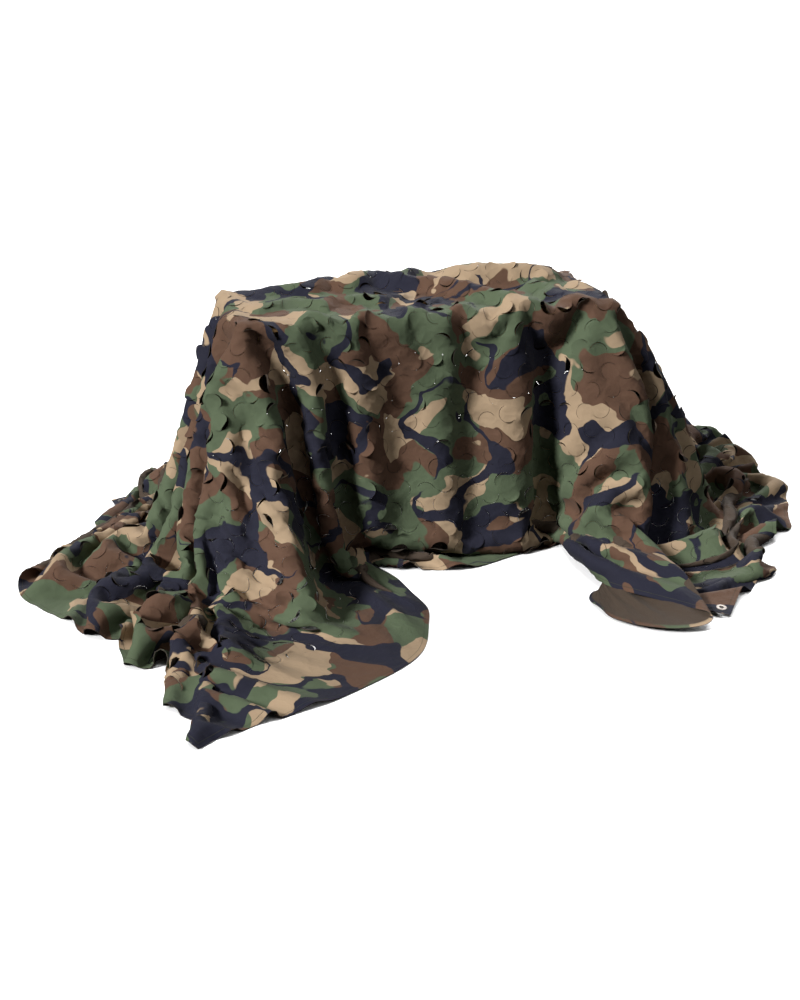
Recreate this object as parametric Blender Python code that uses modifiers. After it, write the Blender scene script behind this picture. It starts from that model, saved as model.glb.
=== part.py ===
"""Leaf-cut camouflage net, one hemmed sheet of cloth, draped over a small table and pooling on the floor.

Metres, +Z up. The table's long side runs along X and its front faces -Y. The folds are a ring of ribs:
each rib is one ridge or one valley that runs from the edge of the table top down to the floor and out to
the hem.
"""

import math

import bmesh
import bpy
import numpy as np
from mathutils import Matrix, Vector, geometry

# ---------------------------------------------------------------- table
TABLE_LENGTH = 0.90
TABLE_DEPTH = 0.34
TABLE_HEIGHT = 0.58
BOARD_THICKNESS = 0.018
BOARD_ROUNDING = 0.004
LEG_WIDTH = 0.040
LEG_INSET = 0.012
LEG_ROUNDING = 0.002
RAIL_HEIGHT = 0.060
RAIL_THICKNESS = 0.018
JOINT_GAP = 0.0003
SAME_PLACE = 0.000001
SEAM_MERGE = 0.00001

# ---------------------------------------------------------------- cloth, flat
CLOTH_LENGTH = 3.0
CLOTH_WIDTH = 2.0
CLOTH_THICKNESS = 0.0016
CORNER_STRIP = 0.080
STRIP_GAP = 0.0007

# ---------------------------------------------------------------- cloth, draped
TOP_LIFT = 0.0004
EDGE_LIFT = 0.0028
EDGE_CLEARANCE = 0.0075
SHOULDER_OUT = 0.015
SHOULDER_DROP = 0.055
KNEE_HEIGHT = 0.33
HANG_RINGS = (0.0, 0.022, 0.09, 0.22, 0.38, 0.54, 0.70, 0.86, 1.0)
POOL_RINGS = (0.22, 0.45, 0.70, 1.0)
STEPS_BETWEEN_RIBS = 3
CURVE_STEPS = 12
EDGE_INSET = 0.004
EDGE_DROP = 0.003
SHOULDER_TOWARDS_KNEE = 0.12
ROLL_AT_EDGE = 0.7
ROLL_AT_SHOULDER = 0.3
ROLL_CREST = 1.5
TOP_INSET = 0.022
TOP_COLUMNS = 30
TOP_ROWS = 11

# Each rib: where it meets the hem (metres round the cloth from its front-left corner, front hem first),
# where it leaves the table top (metres round the top from its front-left corner), its plan position at knee
# height, its foot, how far it tucks back under there, the height of the fold halfway over the floor, and its
# end at the hem.
RIB_COLUMNS = ("hem_at", "edge_at", "knee_x", "knee_y", "foot_x", "foot_y", "foot_z",
               "tuck", "mid_z", "hem_x", "hem_y", "hem_z")
FRONT_RIBS = (
    # hem   edge    knee          foot                 tuck   mid    hem
    (0.00, 0.000, -0.493, -0.288, -0.550, -0.470, 0.085, 0.000, 0.060, -0.640, -0.930, 0.002),
    (0.20, 0.030, -0.462, -0.190, -0.470, -0.430, 0.014, 0.000, 0.008, -0.480, -0.910, 0.000),
    (0.38, 0.072, -0.418, -0.372, -0.366, -0.655, 0.085, 0.070, 0.012, -0.315, -0.872, 0.000),
    (0.58, 0.100, -0.352, -0.225, -0.320, -0.410, 0.018, 0.000, 0.006, -0.185, -0.745, 0.000),
    (0.80, 0.130, -0.315, -0.170, -0.290, -0.245, 0.006, 0.000, 0.004, -0.125, -0.535, 0.000),
    (0.97, 0.165, -0.304, -0.268, -0.238, -0.385, 0.040, 0.000, 0.016, -0.140, -0.370, 0.000),
    (1.10, 0.200, -0.250, -0.182, -0.225, -0.205, 0.010, 0.000, 0.006, -0.190, -0.235, 0.000),
    (1.22, 0.250, -0.200, -0.222, -0.185, -0.255, 0.070, 0.045, 0.010, -0.110, -0.260, 0.000),
    (1.33, 0.360, -0.085, -0.188, -0.085, -0.235, 0.060, 0.040, 0.010, -0.025, -0.300, 0.000),
    (1.44, 0.475, 0.020, -0.225, 0.015, -0.260, 0.065, 0.050, 0.010, 0.065, -0.285, 0.000),
    (1.53, 0.530, 0.080, -0.190, 0.085, -0.240, 0.060, 0.035, 0.010, 0.145, -0.245, 0.000),
    (1.62, 0.595, 0.145, -0.225, 0.160, -0.255, 0.055, 0.050, 0.008, 0.225, -0.222, 0.000),
    (1.71, 0.660, 0.220, -0.250, 0.250, -0.245, 0.035, 0.000, 0.012, 0.295, -0.250, 0.000),
    (1.79, 0.726, 0.271, -0.162, 0.295, -0.170, 0.012, 0.000, 0.006, 0.335, -0.205, 0.000),
    (1.92, 0.774, 0.316, -0.232, 0.320, -0.270, 0.075, 0.000, 0.060, 0.310, -0.370, 0.034),
    (2.04, 0.798, 0.366, -0.272, 0.340, -0.330, 0.100, 0.000, 0.072, 0.300, -0.530, 0.042),
    (2.15, 0.828, 0.425, -0.288, 0.385, -0.370, 0.110, 0.000, 0.075, 0.395, -0.625, 0.046),
    (2.28, 0.852, 0.465, -0.288, 0.445, -0.385, 0.100, 0.000, 0.066, 0.510, -0.745, 0.028),
    (2.40, 0.864, 0.490, -0.270, 0.430, -0.360, 0.060, 0.000, 0.042, 0.430, -0.830, 0.010),
    (2.56, 0.874, 0.505, -0.250, 0.390, -0.315, 0.050, 0.000, 0.034, 0.280, -0.750, 0.008),
    (2.77, 0.883, 0.510, -0.228, 0.365, -0.270, 0.034, 0.000, 0.024, 0.250, -0.490, 0.010),
    (2.88, 0.892, 0.518, -0.232, 0.435, -0.310, 0.020, 0.000, 0.010, 0.425, -0.570, 0.000),
    (3.00, 0.900, 0.528, -0.238, 0.515, -0.360, 0.024, 0.000, 0.010, 0.500, -0.660, 0.010),
)
RIGHT_RIBS = (
    (3.16, 0.913, 0.538, -0.210, 0.575, -0.350, 0.012, 0.000, 0.010, 0.615, -0.590, 0.002),
    (3.32, 0.930, 0.605, -0.225, 0.655, -0.360, 0.095, 0.000, 0.055, 0.720, -0.525, 0.012),
    (3.50, 0.955, 0.583, -0.149, 0.650, -0.252, 0.012, 0.000, 0.010, 0.740, -0.400, 0.000),
    (3.66, 0.981, 0.661, -0.132, 0.745, -0.194, 0.115, 0.000, 0.060, 0.840, -0.300, 0.010),
    (3.84, 1.006, 0.593, -0.081, 0.715, -0.114, 0.014, 0.000, 0.012, 0.900, -0.185, 0.000),
    (3.98, 1.032, 0.668, -0.043, 0.785, -0.049, 0.120, 0.000, 0.060, 0.985, -0.055, 0.008),
    (4.15, 1.066, 0.591, 0.000, 0.720, 0.022, 0.018, 0.000, 0.012, 0.960, 0.055, 0.000),
    (4.32, 1.100, 0.665, 0.047, 0.800, 0.092, 0.120, 0.000, 0.075, 1.015, 0.175, 0.008),
    (4.48, 1.130, 0.593, 0.081, 0.725, 0.153, 0.018, 0.000, 0.012, 0.985, 0.280, 0.000),
    (4.62, 1.159, 0.653, 0.128, 0.770, 0.224, 0.125, 0.000, 0.070, 1.020, 0.390, 0.008),
    (4.80, 1.202, 0.578, 0.157, 0.680, 0.270, 0.015, 0.000, 0.012, 1.005, 0.510, 0.000),
    (5.00, 1.240, 0.568, 0.245, 0.655, 0.389, 0.090, 0.000, 0.050, 0.875, 0.680, 0.012),
)
BACK_RIBS = (
    (5.20, 1.282, 0.510, 0.225, 0.545, 0.365, 0.014, 0.000, 0.010, 0.715, 0.620, 0.000),
    (5.40, 1.322, 0.485, 0.300, 0.485, 0.450, 0.090, 0.000, 0.045, 0.595, 0.635, 0.006),
    (5.60, 1.360, 0.415, 0.215, 0.400, 0.300, 0.012, 0.000, 0.010, 0.495, 0.485, 0.000),
    (5.78, 1.414, 0.365, 0.270, 0.345, 0.375, 0.060, 0.000, 0.030, 0.400, 0.480, 0.006),
    (5.98, 1.468, 0.260, 0.198, 0.265, 0.260, 0.010, 0.000, 0.010, 0.295, 0.375, 0.000),
    (6.22, 1.565, 0.175, 0.275, 0.190, 0.370, 0.085, 0.000, 0.040, 0.200, 0.470, 0.006),
    (6.40, 1.630, 0.090, 0.190, 0.085, 0.232, 0.010, 0.000, 0.010, 0.080, 0.345, 0.000),
    (6.54, 1.705, 0.005, 0.232, 0.010, 0.290, 0.050, 0.000, 0.020, -0.005, 0.370, 0.004),
    (6.70, 1.765, -0.070, 0.195, -0.080, 0.240, 0.010, 0.000, 0.010, -0.095, 0.320, 0.000),
    (6.92, 1.840, -0.155, 0.270, -0.175, 0.365, 0.080, 0.000, 0.040, -0.215, 0.460, 0.006),
    (7.14, 1.920, -0.250, 0.198, -0.275, 0.255, 0.010, 0.000, 0.010, -0.330, 0.375, 0.000),
    (7.32, 1.975, -0.320, 0.255, -0.365, 0.345, 0.055, 0.000, 0.030, -0.430, 0.460, 0.006),
    (7.50, 2.025, -0.380, 0.210, -0.435, 0.300, 0.012, 0.000, 0.010, -0.525, 0.425, 0.000),
    (7.74, 2.085, -0.460, 0.275, -0.555, 0.360, 0.090, 0.000, 0.050, -0.650, 0.400, 0.008),
    (8.00, 2.140, -0.505, 0.210, -0.610, 0.240, 0.060, 0.000, 0.035, -0.690, 0.245, 0.012),
)
LEFT_RIBS = (
    (8.20, 2.174, -0.499, 0.140, -0.600, 0.157, 0.010, 0.000, 0.010, -0.755, 0.160, 0.000),
    (8.38, 2.206, -0.553, 0.109, -0.665, 0.085, 0.080, 0.000, 0.055, -0.835, 0.030, 0.008),
    (8.53, 2.238, -0.505, 0.064, -0.620, 0.025, 0.012, 0.000, 0.012, -0.875, -0.030, 0.000),
    (8.70, 2.272, -0.570, 0.021, -0.695, -0.055, 0.130, 0.000, 0.085, -0.985, -0.175, 0.012),
    (8.88, 2.310, -0.503, -0.025, -0.615, -0.130, 0.012, 0.000, 0.012, -0.895, -0.305, 0.000),
    (9.05, 2.344, -0.570, -0.064, -0.665, -0.201, 0.125, 0.000, 0.085, -0.830, -0.420, 0.010),
    (9.22, 2.376, -0.505, -0.093, -0.580, -0.258, 0.010, 0.000, 0.010, -0.760, -0.495, 0.000),
    (9.38, 2.405, -0.575, -0.140, -0.640, -0.333, 0.110, 0.000, 0.075, -0.740, -0.600, 0.010),
    (9.56, 2.431, -0.507, -0.157, -0.560, -0.361, 0.012, 0.000, 0.010, -0.675, -0.665, 0.000),
    (9.72, 2.451, -0.555, -0.218, -0.610, -0.425, 0.080, 0.000, 0.055, -0.685, -0.780, 0.006),
    (9.86, 2.467, -0.501, -0.232, -0.555, -0.415, 0.025, 0.000, 0.025, -0.650, -0.860, 0.000),
)

# Loose rolls of cloth on the table top: their two ends, their height and their half width.
ROLL_COLUMNS = ("x0", "y0", "x1", "y1", "height", "half_width")
TOP_ROLLS = (
    (-0.365, 0.111, 0.035, 0.127, 0.030, 0.045),
    (-0.185, 0.162, 0.238, 0.170, 0.026, 0.040),
    (-0.005, 0.102, 0.145, -0.034, 0.044, 0.050),
    (0.145, -0.034, 0.232, -0.178, 0.036, 0.045),
    (0.145, 0.111, 0.355, 0.085, 0.066, 0.060),
    (0.320, 0.017, 0.361, -0.178, 0.026, 0.045),
    (-0.385, -0.017, -0.075, -0.034, 0.010, 0.050),
)

# Corner strips that carry an empty eyelet: the cloth corner's place, the heading of its inward diagonal
# (degrees from +X) and its slope along that diagonal.
STRIP_COLUMNS = ("name", "hem_at", "x", "y", "z", "heading", "slope_deg")
CORNER_STRIPS = (
    ("front_right", 3.00, 0.530, -0.715, 0.010, 98.0, 6.0),
    ("back_right", 5.00, 0.920, 0.705, 0.010, 226.0, 6.0),
    ("back_left", 8.00, -0.745, 0.310, 0.010, 325.0, 6.0),
)
EYELET_INSET = 0.024
EYELET_BORE_RADIUS = 0.0055
EYELET_BARREL_RADIUS = 0.0068
EYELET_FLANGE_RADIUS = 0.0115
EYELET_FLANGE_THICKNESS = 0.0008
EYELET_FLANGE_SLOPE = 0.002
EYELET_RIM = 0.0003
EYELET_HOLE_RADIUS = 0.0072
EYELET_SEGMENTS = 20

COLOURS = {
    "net": ((0.090, 0.100, 0.058), 0.85, 0.0),
    "eyelet": ((0.055, 0.050, 0.048), 0.38, 0.9),
    "table": ((0.42, 0.29, 0.17), 0.55, 0.0),
}


def clear_scene():
    for thing in list(bpy.data.objects):
        bpy.data.objects.remove(thing, do_unlink=True)


def material(name):
    colour, roughness, metallic = COLOURS[name]
    made = bpy.data.materials.new(name)
    made.use_nodes = True
    shader = made.node_tree.nodes["Principled BSDF"]
    shader.inputs["Base Color"].default_value = (*colour, 1.0)
    shader.inputs["Roughness"].default_value = roughness
    shader.inputs["Metallic"].default_value = metallic
    return made


def collection(name):
    made = bpy.data.collections.new(name)
    bpy.context.scene.collection.children.link(made)
    return made


def add_object(name, mesh, group, finish):
    made = bpy.data.objects.new(name, mesh)
    group.objects.link(made)
    made.data.materials.append(finish)
    return made


# ---------------------------------------------------------------- ribs
def table_edge(at):
    """Plan point on the edge of the table top, metres round from the front left, and the way out from it."""
    half_x, half_y = TABLE_LENGTH / 2, TABLE_DEPTH / 2
    at = at % (2 * (TABLE_LENGTH + TABLE_DEPTH))
    if at <= TABLE_LENGTH:
        return np.array([at - half_x, -half_y]), np.array([0.0, -1.0])
    at -= TABLE_LENGTH
    if at <= TABLE_DEPTH:
        return np.array([half_x, at - half_y]), np.array([1.0, 0.0])
    at -= TABLE_DEPTH
    if at <= TABLE_LENGTH:
        return np.array([half_x - at, half_y]), np.array([0.0, 1.0])
    at -= TABLE_LENGTH
    return np.array([-half_x, half_y - at]), np.array([-1.0, 0.0])


def roll_height(point):
    """Height of the loose rolls above the flat cloth at a plan point of the table top."""
    rise = 0.0
    for row in TOP_ROLLS:
        roll = dict(zip(ROLL_COLUMNS, row))
        start = np.array([roll["x0"], roll["y0"]])
        way = np.array([roll["x1"], roll["y1"]]) - start
        share = np.clip((point - start) @ way / (way @ way), 0.0, 1.0)
        gap = np.linalg.norm(point - start - share * way) / roll["half_width"]
        if gap < 1.0:
            rise = max(rise, roll["height"] * math.cos(gap * math.pi / 2) ** ROLL_CREST)
    return rise


def corner_strips():
    return [dict(zip(STRIP_COLUMNS, row)) for row in CORNER_STRIPS]


def strip_axes(strip):
    """The corner point of a strip and its two hem directions, before the eyelet is fitted."""
    heading, slope = math.radians(strip["heading"]), math.radians(strip["slope_deg"])
    turn = Matrix.Rotation(heading, 3, "Z") @ Matrix.Rotation(-slope, 3, "Y")
    sides = [turn @ Vector((1.0, side, 0.0)).normalized() for side in (1.0, -1.0)]
    return Vector((strip["x"], strip["y"], strip["z"])), sides, turn


def strip_hem_rows():
    """Where the net ends at each corner strip: its hem point at both ends and the middle of the cut."""
    rows = {}
    for strip in corner_strips():
        corner, sides, turn = strip_axes(strip)
        back_off = turn @ Vector((STRIP_GAP, 0.0, -CLOTH_THICKNESS / 2))
        ends = [corner + side * CORNER_STRIP + back_off for side in sides]
        rows[strip["hem_at"] - CORNER_STRIP] = ends[0]
        rows[strip["hem_at"]] = (ends[0] + ends[1]) / 2
        rows[strip["hem_at"] + CORNER_STRIP] = ends[1]
    return rows


def all_ribs():
    """Every rib as a dictionary, in order round the cloth, with a rib added at each end of a corner strip."""
    ribs = [dict(zip(RIB_COLUMNS, row)) for row in FRONT_RIBS + RIGHT_RIBS + BACK_RIBS + LEFT_RIBS]
    perimeter = 2 * (CLOTH_LENGTH + CLOTH_WIDTH)
    for hem_at, point in strip_hem_rows().items():
        nearest = min(ribs, key=lambda rib: abs(rib["hem_at"] - hem_at))
        if abs(nearest["hem_at"] - hem_at) > SAME_PLACE:
            after = next((rib for rib in ribs if rib["hem_at"] > hem_at), ribs[0])
            before = ribs[ribs.index(after) - 1]
            span = (after["hem_at"] - before["hem_at"]) % perimeter
            share = (hem_at - before["hem_at"]) / span
            nearest = {key: before[key] * (1 - share) + after[key] * share for key in RIB_COLUMNS}
            ribs.insert(ribs.index(after), nearest)
        nearest["hem_at"] = hem_at
        nearest["hem_x"], nearest["hem_y"], nearest["hem_z"] = point
    return ribs


def straighten_cuts(rows, ribs):
    """Pulls the hem between a corner strip's ribs onto the straight line of the cut."""
    for strip in corner_strips():
        middle = next(i for i, rib in enumerate(ribs) if rib["hem_at"] == strip["hem_at"])
        for start in (middle - 1, middle):
            first, last = rows[start * STEPS_BETWEEN_RIBS, -1], rows[(start + 1) * STEPS_BETWEEN_RIBS, -1]
            for step in range(1, STEPS_BETWEEN_RIBS):
                share = step / STEPS_BETWEEN_RIBS
                rows[start * STEPS_BETWEEN_RIBS + step, -1] = first * (1 - share) + last * share


def smooth_curve(points, steps):
    """A centripetal Catmull-Rom curve through the points, with this many steps on each stretch."""
    points = np.asarray(points, float)
    padded = np.vstack([2 * points[0] - points[1], points, 2 * points[-1] - points[-2]])
    knots = np.concatenate([[0.0], np.cumsum(np.linalg.norm(np.diff(padded, axis=0), axis=1) ** 0.5)])
    out = []
    for i in range(1, len(padded) - 2):
        at = np.linspace(knots[i], knots[i + 1], steps, endpoint=False)[:, None]
        near = padded[i - 1:i + 3]
        k = knots[i - 1:i + 3]
        a = [((k[j + 1] - at) * near[j] + (at - k[j]) * near[j + 1]) / (k[j + 1] - k[j]) for j in range(3)]
        b = [((k[j + 2] - at) * a[j] + (at - k[j]) * a[j + 1]) / (k[j + 2] - k[j]) for j in range(2)]
        out.append(((k[2] - at) * b[0] + (at - k[1]) * b[1]) / (k[2] - k[1]))
    out.append(points[-1:])
    return np.vstack(out)


def along(curve, shares):
    """Points at these shares of a curve's own length."""
    run = np.concatenate([[0.0], np.cumsum(np.linalg.norm(np.diff(curve, axis=0), axis=1))])
    return np.stack([np.interp(np.asarray(shares) * run[-1], run, curve[:, i]) for i in range(3)], axis=1)


def rib_points(rib):
    """The rings' points on one rib: over the edge, down to the foot, and out over the floor."""
    edge, out = table_edge(rib["edge_at"])
    knee = np.array([rib["knee_x"], rib["knee_y"]])
    foot = np.array([rib["foot_x"], rib["foot_y"]])
    hem = np.array([rib["hem_x"], rib["hem_y"]])
    rise = roll_height(edge)
    shoulder = edge + out * SHOULDER_OUT + (knee - edge) * SHOULDER_TOWARDS_KNEE
    hang = [
        (*(edge - out * EDGE_INSET), TABLE_HEIGHT + EDGE_LIFT + rise),
        (*(edge + out * EDGE_CLEARANCE), TABLE_HEIGHT - EDGE_DROP + rise * ROLL_AT_EDGE),
        (*shoulder, TABLE_HEIGHT - SHOULDER_DROP + rise * ROLL_AT_SHOULDER),
        (*knee, KNEE_HEIGHT),
        (*foot, rib["foot_z"]),
    ]
    if rib["tuck"]:
        middle = foot - out * rib["tuck"]
    else:
        middle = (foot + hem) / 2
    pool = [(*middle, rib["mid_z"]), (*hem, rib["hem_z"])]
    curve = smooth_curve(hang + pool, CURVE_STEPS)
    at_foot = CURVE_STEPS * (len(hang) - 1)
    hanging = along(curve[:at_foot + 1], HANG_RINGS)
    pooled = along(curve[at_foot:], POOL_RINGS)
    return np.vstack([hanging, pooled])


def between_ribs(rows, steps):
    """Rows added between the ribs on a closed smooth curve through each ring."""
    count = len(rows)
    out = []
    for i in range(count):
        p0, p1, p2, p3 = (rows[(i + j) % count] for j in (-1, 0, 1, 2))
        for step in range(steps):
            t = step / steps
            out.append(0.5 * (2 * p1 + (p2 - p0) * t + (2 * p0 - 5 * p1 + 4 * p2 - p3) * t ** 2
                              + (3 * p1 - p0 - 3 * p2 + p3) * t ** 3))
    return np.array(out)


# ---------------------------------------------------------------- net
def top_points():
    """A grid of points over the table top, inside the ring of the ribs' upper ends."""
    half_x, half_y = TABLE_LENGTH / 2 - TOP_INSET, TABLE_DEPTH / 2 - TOP_INSET
    found = []
    for x in np.linspace(-half_x, half_x, TOP_COLUMNS):
        for y in np.linspace(-half_y, half_y, TOP_ROWS):
            found.append((x, y, TABLE_HEIGHT + TOP_LIFT + roll_height(np.array([x, y]))))
    return found


def net_mesh():
    ribs = all_ribs()
    rows = between_ribs([rib_points(rib) for rib in ribs], STEPS_BETWEEN_RIBS)
    straighten_cuts(rows, ribs)
    rows[:, :, 2] = np.maximum(rows[:, :, 2], 0.0)
    columns, rings = rows.shape[:2]
    points = [Vector(p) for p in rows.reshape(-1, 3)]
    faces = []
    for i in range(columns):
        j = (i + 1) % columns
        for ring in range(rings - 1):
            faces.append((i * rings + ring, i * rings + ring + 1, j * rings + ring + 1, j * rings + ring))
    top = top_points()
    flat = [Vector(p[:2]) for p in rows[:, 0]] + [Vector(p[:2]) for p in top]
    _, _, triangles, origins, _, _ = geometry.delaunay_2d_cdt(flat, [], [list(range(columns))], 1, SAME_PLACE)
    first_top = len(points)
    points += [Vector(p) for p in top]

    def index(n):
        source = origins[n][0]
        return source * rings if source < columns else first_top + source - columns

    faces += [tuple(index(n) for n in triangle) for triangle in triangles]
    mesh = bpy.data.meshes.new("net")
    mesh.from_pydata(points, [], faces)
    work = bmesh.new()
    work.from_mesh(mesh)
    loose = [vert for vert in work.verts if not vert.link_faces]
    bmesh.ops.delete(work, geom=loose, context="VERTS")
    work.to_mesh(mesh)
    work.free()
    mesh.shade_smooth()
    return mesh


def add_net(group, finish):
    net = add_object("net", net_mesh(), group, finish)
    thicken = net.modifiers.new("thickness", "SOLIDIFY")
    thicken.thickness = CLOTH_THICKNESS
    thicken.offset = 1.0
    return net


# ---------------------------------------------------------------- corner strips and eyelets
def strip_mesh(name):
    """A flat triangular corner with its eyelet hole, thick along Z, its corner point at the origin."""
    outline = bpy.data.curves.new(name, "CURVE")
    outline.dimensions = "2D"
    outline.fill_mode = "BOTH"
    outline.extrude = CLOTH_THICKNESS / 2
    half = CORNER_STRIP * math.sin(math.radians(45.0))
    corners = ((0.0, 0.0), (half, -half), (half, half))
    hole = [(EYELET_INSET * math.sqrt(2) + EYELET_HOLE_RADIUS * math.cos(a), EYELET_HOLE_RADIUS * math.sin(a))
            for a in (2 * math.pi * i / EYELET_SEGMENTS for i in range(EYELET_SEGMENTS))]
    for ring in (corners, hole):
        spline = outline.splines.new("POLY")
        spline.points.add(len(ring) - 1)
        for point, (x, y) in zip(spline.points, ring):
            point.co = (x, y, 0.0, 1.0)
        spline.use_cyclic_u = True
    drawn = bpy.data.objects.new(name, outline)
    bpy.context.scene.collection.objects.link(drawn)
    bpy.context.view_layer.update()
    mesh = bpy.data.meshes.new_from_object(drawn.evaluated_get(bpy.context.evaluated_depsgraph_get()))
    bpy.data.objects.remove(drawn)
    work = bmesh.new()
    work.from_mesh(mesh)
    bmesh.ops.remove_doubles(work, verts=work.verts, dist=SAME_PLACE)
    bmesh.ops.recalc_face_normals(work, faces=work.faces)
    work.to_mesh(mesh)
    work.free()
    return mesh


def eyelet_profile():
    """The ring's section, from the outside of its upper flange round to the bore."""
    seat = CLOTH_THICKNESS / 2 + JOINT_GAP
    face = seat + EYELET_FLANGE_THICKNESS
    return (
        (EYELET_FLANGE_RADIUS, face - EYELET_RIM),
        (EYELET_FLANGE_RADIUS, seat),
        (EYELET_BARREL_RADIUS, seat),
        (EYELET_BARREL_RADIUS, -seat),
        (EYELET_FLANGE_RADIUS, -seat),
        (EYELET_FLANGE_RADIUS, -face + EYELET_RIM),
        (EYELET_FLANGE_RADIUS - EYELET_FLANGE_SLOPE, -face),
        (EYELET_BORE_RADIUS, -face),
        (EYELET_BORE_RADIUS, face),
        (EYELET_FLANGE_RADIUS - EYELET_FLANGE_SLOPE, face),
    )


def eyelet_mesh(name):
    work = bmesh.new()
    profile = [work.verts.new((x, 0.0, z)) for x, z in reversed(eyelet_profile())]
    for i, vert in enumerate(profile):
        work.edges.new((vert, profile[(i + 1) % len(profile)]))
    mesh = bpy.data.meshes.new(name)
    work.to_mesh(mesh)
    work.free()
    return mesh


def add_corner(strip, group, cloth, metal):
    name = strip["name"]
    corner, _, turn = strip_axes(strip)
    patch = add_object("strip_" + name, strip_mesh("strip_" + name), group, cloth)
    patch.matrix_world = Matrix.Translation(corner) @ turn.to_4x4()
    ring = add_object("eyelet_" + name, eyelet_mesh("eyelet_" + name), group, metal)
    ring.matrix_world = patch.matrix_world @ Matrix.Translation((EYELET_INSET * math.sqrt(2), 0.0, 0.0))
    spin = ring.modifiers.new("turn", "SCREW")
    spin.steps = EYELET_SEGMENTS
    spin.render_steps = EYELET_SEGMENTS
    spin.use_merge_vertices = True
    spin.merge_threshold = SEAM_MERGE
    spin.use_normal_calculate = True
    spin.use_smooth_shade = True
    return patch, ring


# ---------------------------------------------------------------- table
def add_box(name, size, centre, group, finish, rounding=0.0):
    work = bmesh.new()
    bmesh.ops.create_cube(work, size=1.0)
    bmesh.ops.scale(work, vec=Vector(size), verts=work.verts)
    mesh = bpy.data.meshes.new(name)
    work.to_mesh(mesh)
    work.free()
    made = add_object(name, mesh, group, finish)
    made.location = centre
    if rounding:
        soften = made.modifiers.new("rounding", "BEVEL")
        soften.width = rounding
        soften.segments = 2
    return made


def add_table(group, finish):
    board_z = TABLE_HEIGHT - BOARD_THICKNESS / 2
    made = [add_box("table_board", (TABLE_LENGTH, TABLE_DEPTH, BOARD_THICKNESS), (0.0, 0.0, board_z),
                    group, finish, BOARD_ROUNDING)]
    leg_height = TABLE_HEIGHT - BOARD_THICKNESS - JOINT_GAP
    leg_x = TABLE_LENGTH / 2 - LEG_INSET - LEG_WIDTH / 2
    leg_y = TABLE_DEPTH / 2 - LEG_INSET - LEG_WIDTH / 2
    for depth_name, side_y in (("front", -1), ("back", 1)):
        for side_name, side_x in (("left", -1), ("right", 1)):
            centre = (side_x * leg_x, side_y * leg_y, leg_height / 2)
            made.append(add_box(f"table_leg_{depth_name}_{side_name}", (LEG_WIDTH, LEG_WIDTH, leg_height),
                                centre, group, finish, LEG_ROUNDING))
    rail_z = leg_height - RAIL_HEIGHT / 2
    long_rail = 2 * leg_x - LEG_WIDTH - 2 * JOINT_GAP
    short_rail = 2 * leg_y - LEG_WIDTH - 2 * JOINT_GAP
    for depth_name, side_y in (("front", -1), ("back", 1)):
        made.append(add_box(f"table_rail_{depth_name}", (long_rail, RAIL_THICKNESS, RAIL_HEIGHT),
                            (0.0, side_y * leg_y, rail_z), group, finish))
    for side_name, side_x in (("left", -1), ("right", 1)):
        made.append(add_box(f"table_rail_{side_name}", (RAIL_THICKNESS, short_rail, RAIL_HEIGHT),
                            (side_x * leg_x, 0.0, rail_z), group, finish))
    return made


def centre_on_footprint(things):
    """Moves the part so that the middle of its footprint is the origin."""
    graph = bpy.context.evaluated_depsgraph_get()
    low, high = np.full(2, np.inf), np.full(2, -np.inf)
    for thing in things:
        seen = thing.evaluated_get(graph)
        for vert in seen.to_mesh().vertices:
            place = seen.matrix_world @ vert.co
            low = np.minimum(low, place[:2])
            high = np.maximum(high, place[:2])
        seen.to_mesh_clear()
    shift = Matrix.Translation((-(low[0] + high[0]) / 2, -(low[1] + high[1]) / 2, 0.0))
    for thing in things:
        thing.matrix_world = shift @ thing.matrix_world


def main():
    clear_scene()
    group = collection("draped_net")
    cloth, metal, wood = material("net"), material("eyelet"), material("table")
    things = [add_net(group, cloth)]
    for strip in corner_strips():
        things += add_corner(strip, group, cloth, metal)
    things += add_table(group, wood)
    bpy.context.view_layer.update()
    centre_on_footprint(things)


main()
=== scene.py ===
"""The looks of a leaf-cut camouflage net draped over a small table.

The cloth is placed on its ribs (one ridge or valley each), relaxed over the table and the floor, then cut
into leaves, printed and hemmed. Metres, +Z up. Flat cloth coordinates (u, v) run from the cloth's middle, u
along its length and v along its width; the front hem is at the lowest v.
"""

import math

import bmesh
import bpy
import numpy as np
from mathutils import Matrix, Vector, geometry


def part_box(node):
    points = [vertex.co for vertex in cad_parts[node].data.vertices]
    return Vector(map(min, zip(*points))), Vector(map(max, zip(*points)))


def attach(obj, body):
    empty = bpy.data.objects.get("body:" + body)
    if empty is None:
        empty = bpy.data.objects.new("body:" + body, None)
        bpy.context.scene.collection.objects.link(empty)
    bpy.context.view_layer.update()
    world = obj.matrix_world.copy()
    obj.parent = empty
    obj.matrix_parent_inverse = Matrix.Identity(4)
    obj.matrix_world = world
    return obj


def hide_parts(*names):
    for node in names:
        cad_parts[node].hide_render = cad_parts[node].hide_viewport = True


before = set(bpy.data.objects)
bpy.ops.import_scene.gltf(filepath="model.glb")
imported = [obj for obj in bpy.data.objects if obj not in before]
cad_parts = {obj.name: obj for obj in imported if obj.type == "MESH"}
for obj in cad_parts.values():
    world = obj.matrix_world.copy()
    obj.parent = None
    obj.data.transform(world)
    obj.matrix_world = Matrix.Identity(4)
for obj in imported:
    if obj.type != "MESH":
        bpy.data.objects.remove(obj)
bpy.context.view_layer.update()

# ---- table, from the frame
BOARD_LOW, BOARD_HIGH = (np.array(corner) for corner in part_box("table_board"))
TABLE_LENGTH, TABLE_DEPTH = (BOARD_HIGH - BOARD_LOW)[:2]
TABLE_HEIGHT = BOARD_HIGH[2]
TABLE_MIDDLE = (BOARD_LOW + BOARD_HIGH) / 2 * (1, 1, 0)
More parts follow.
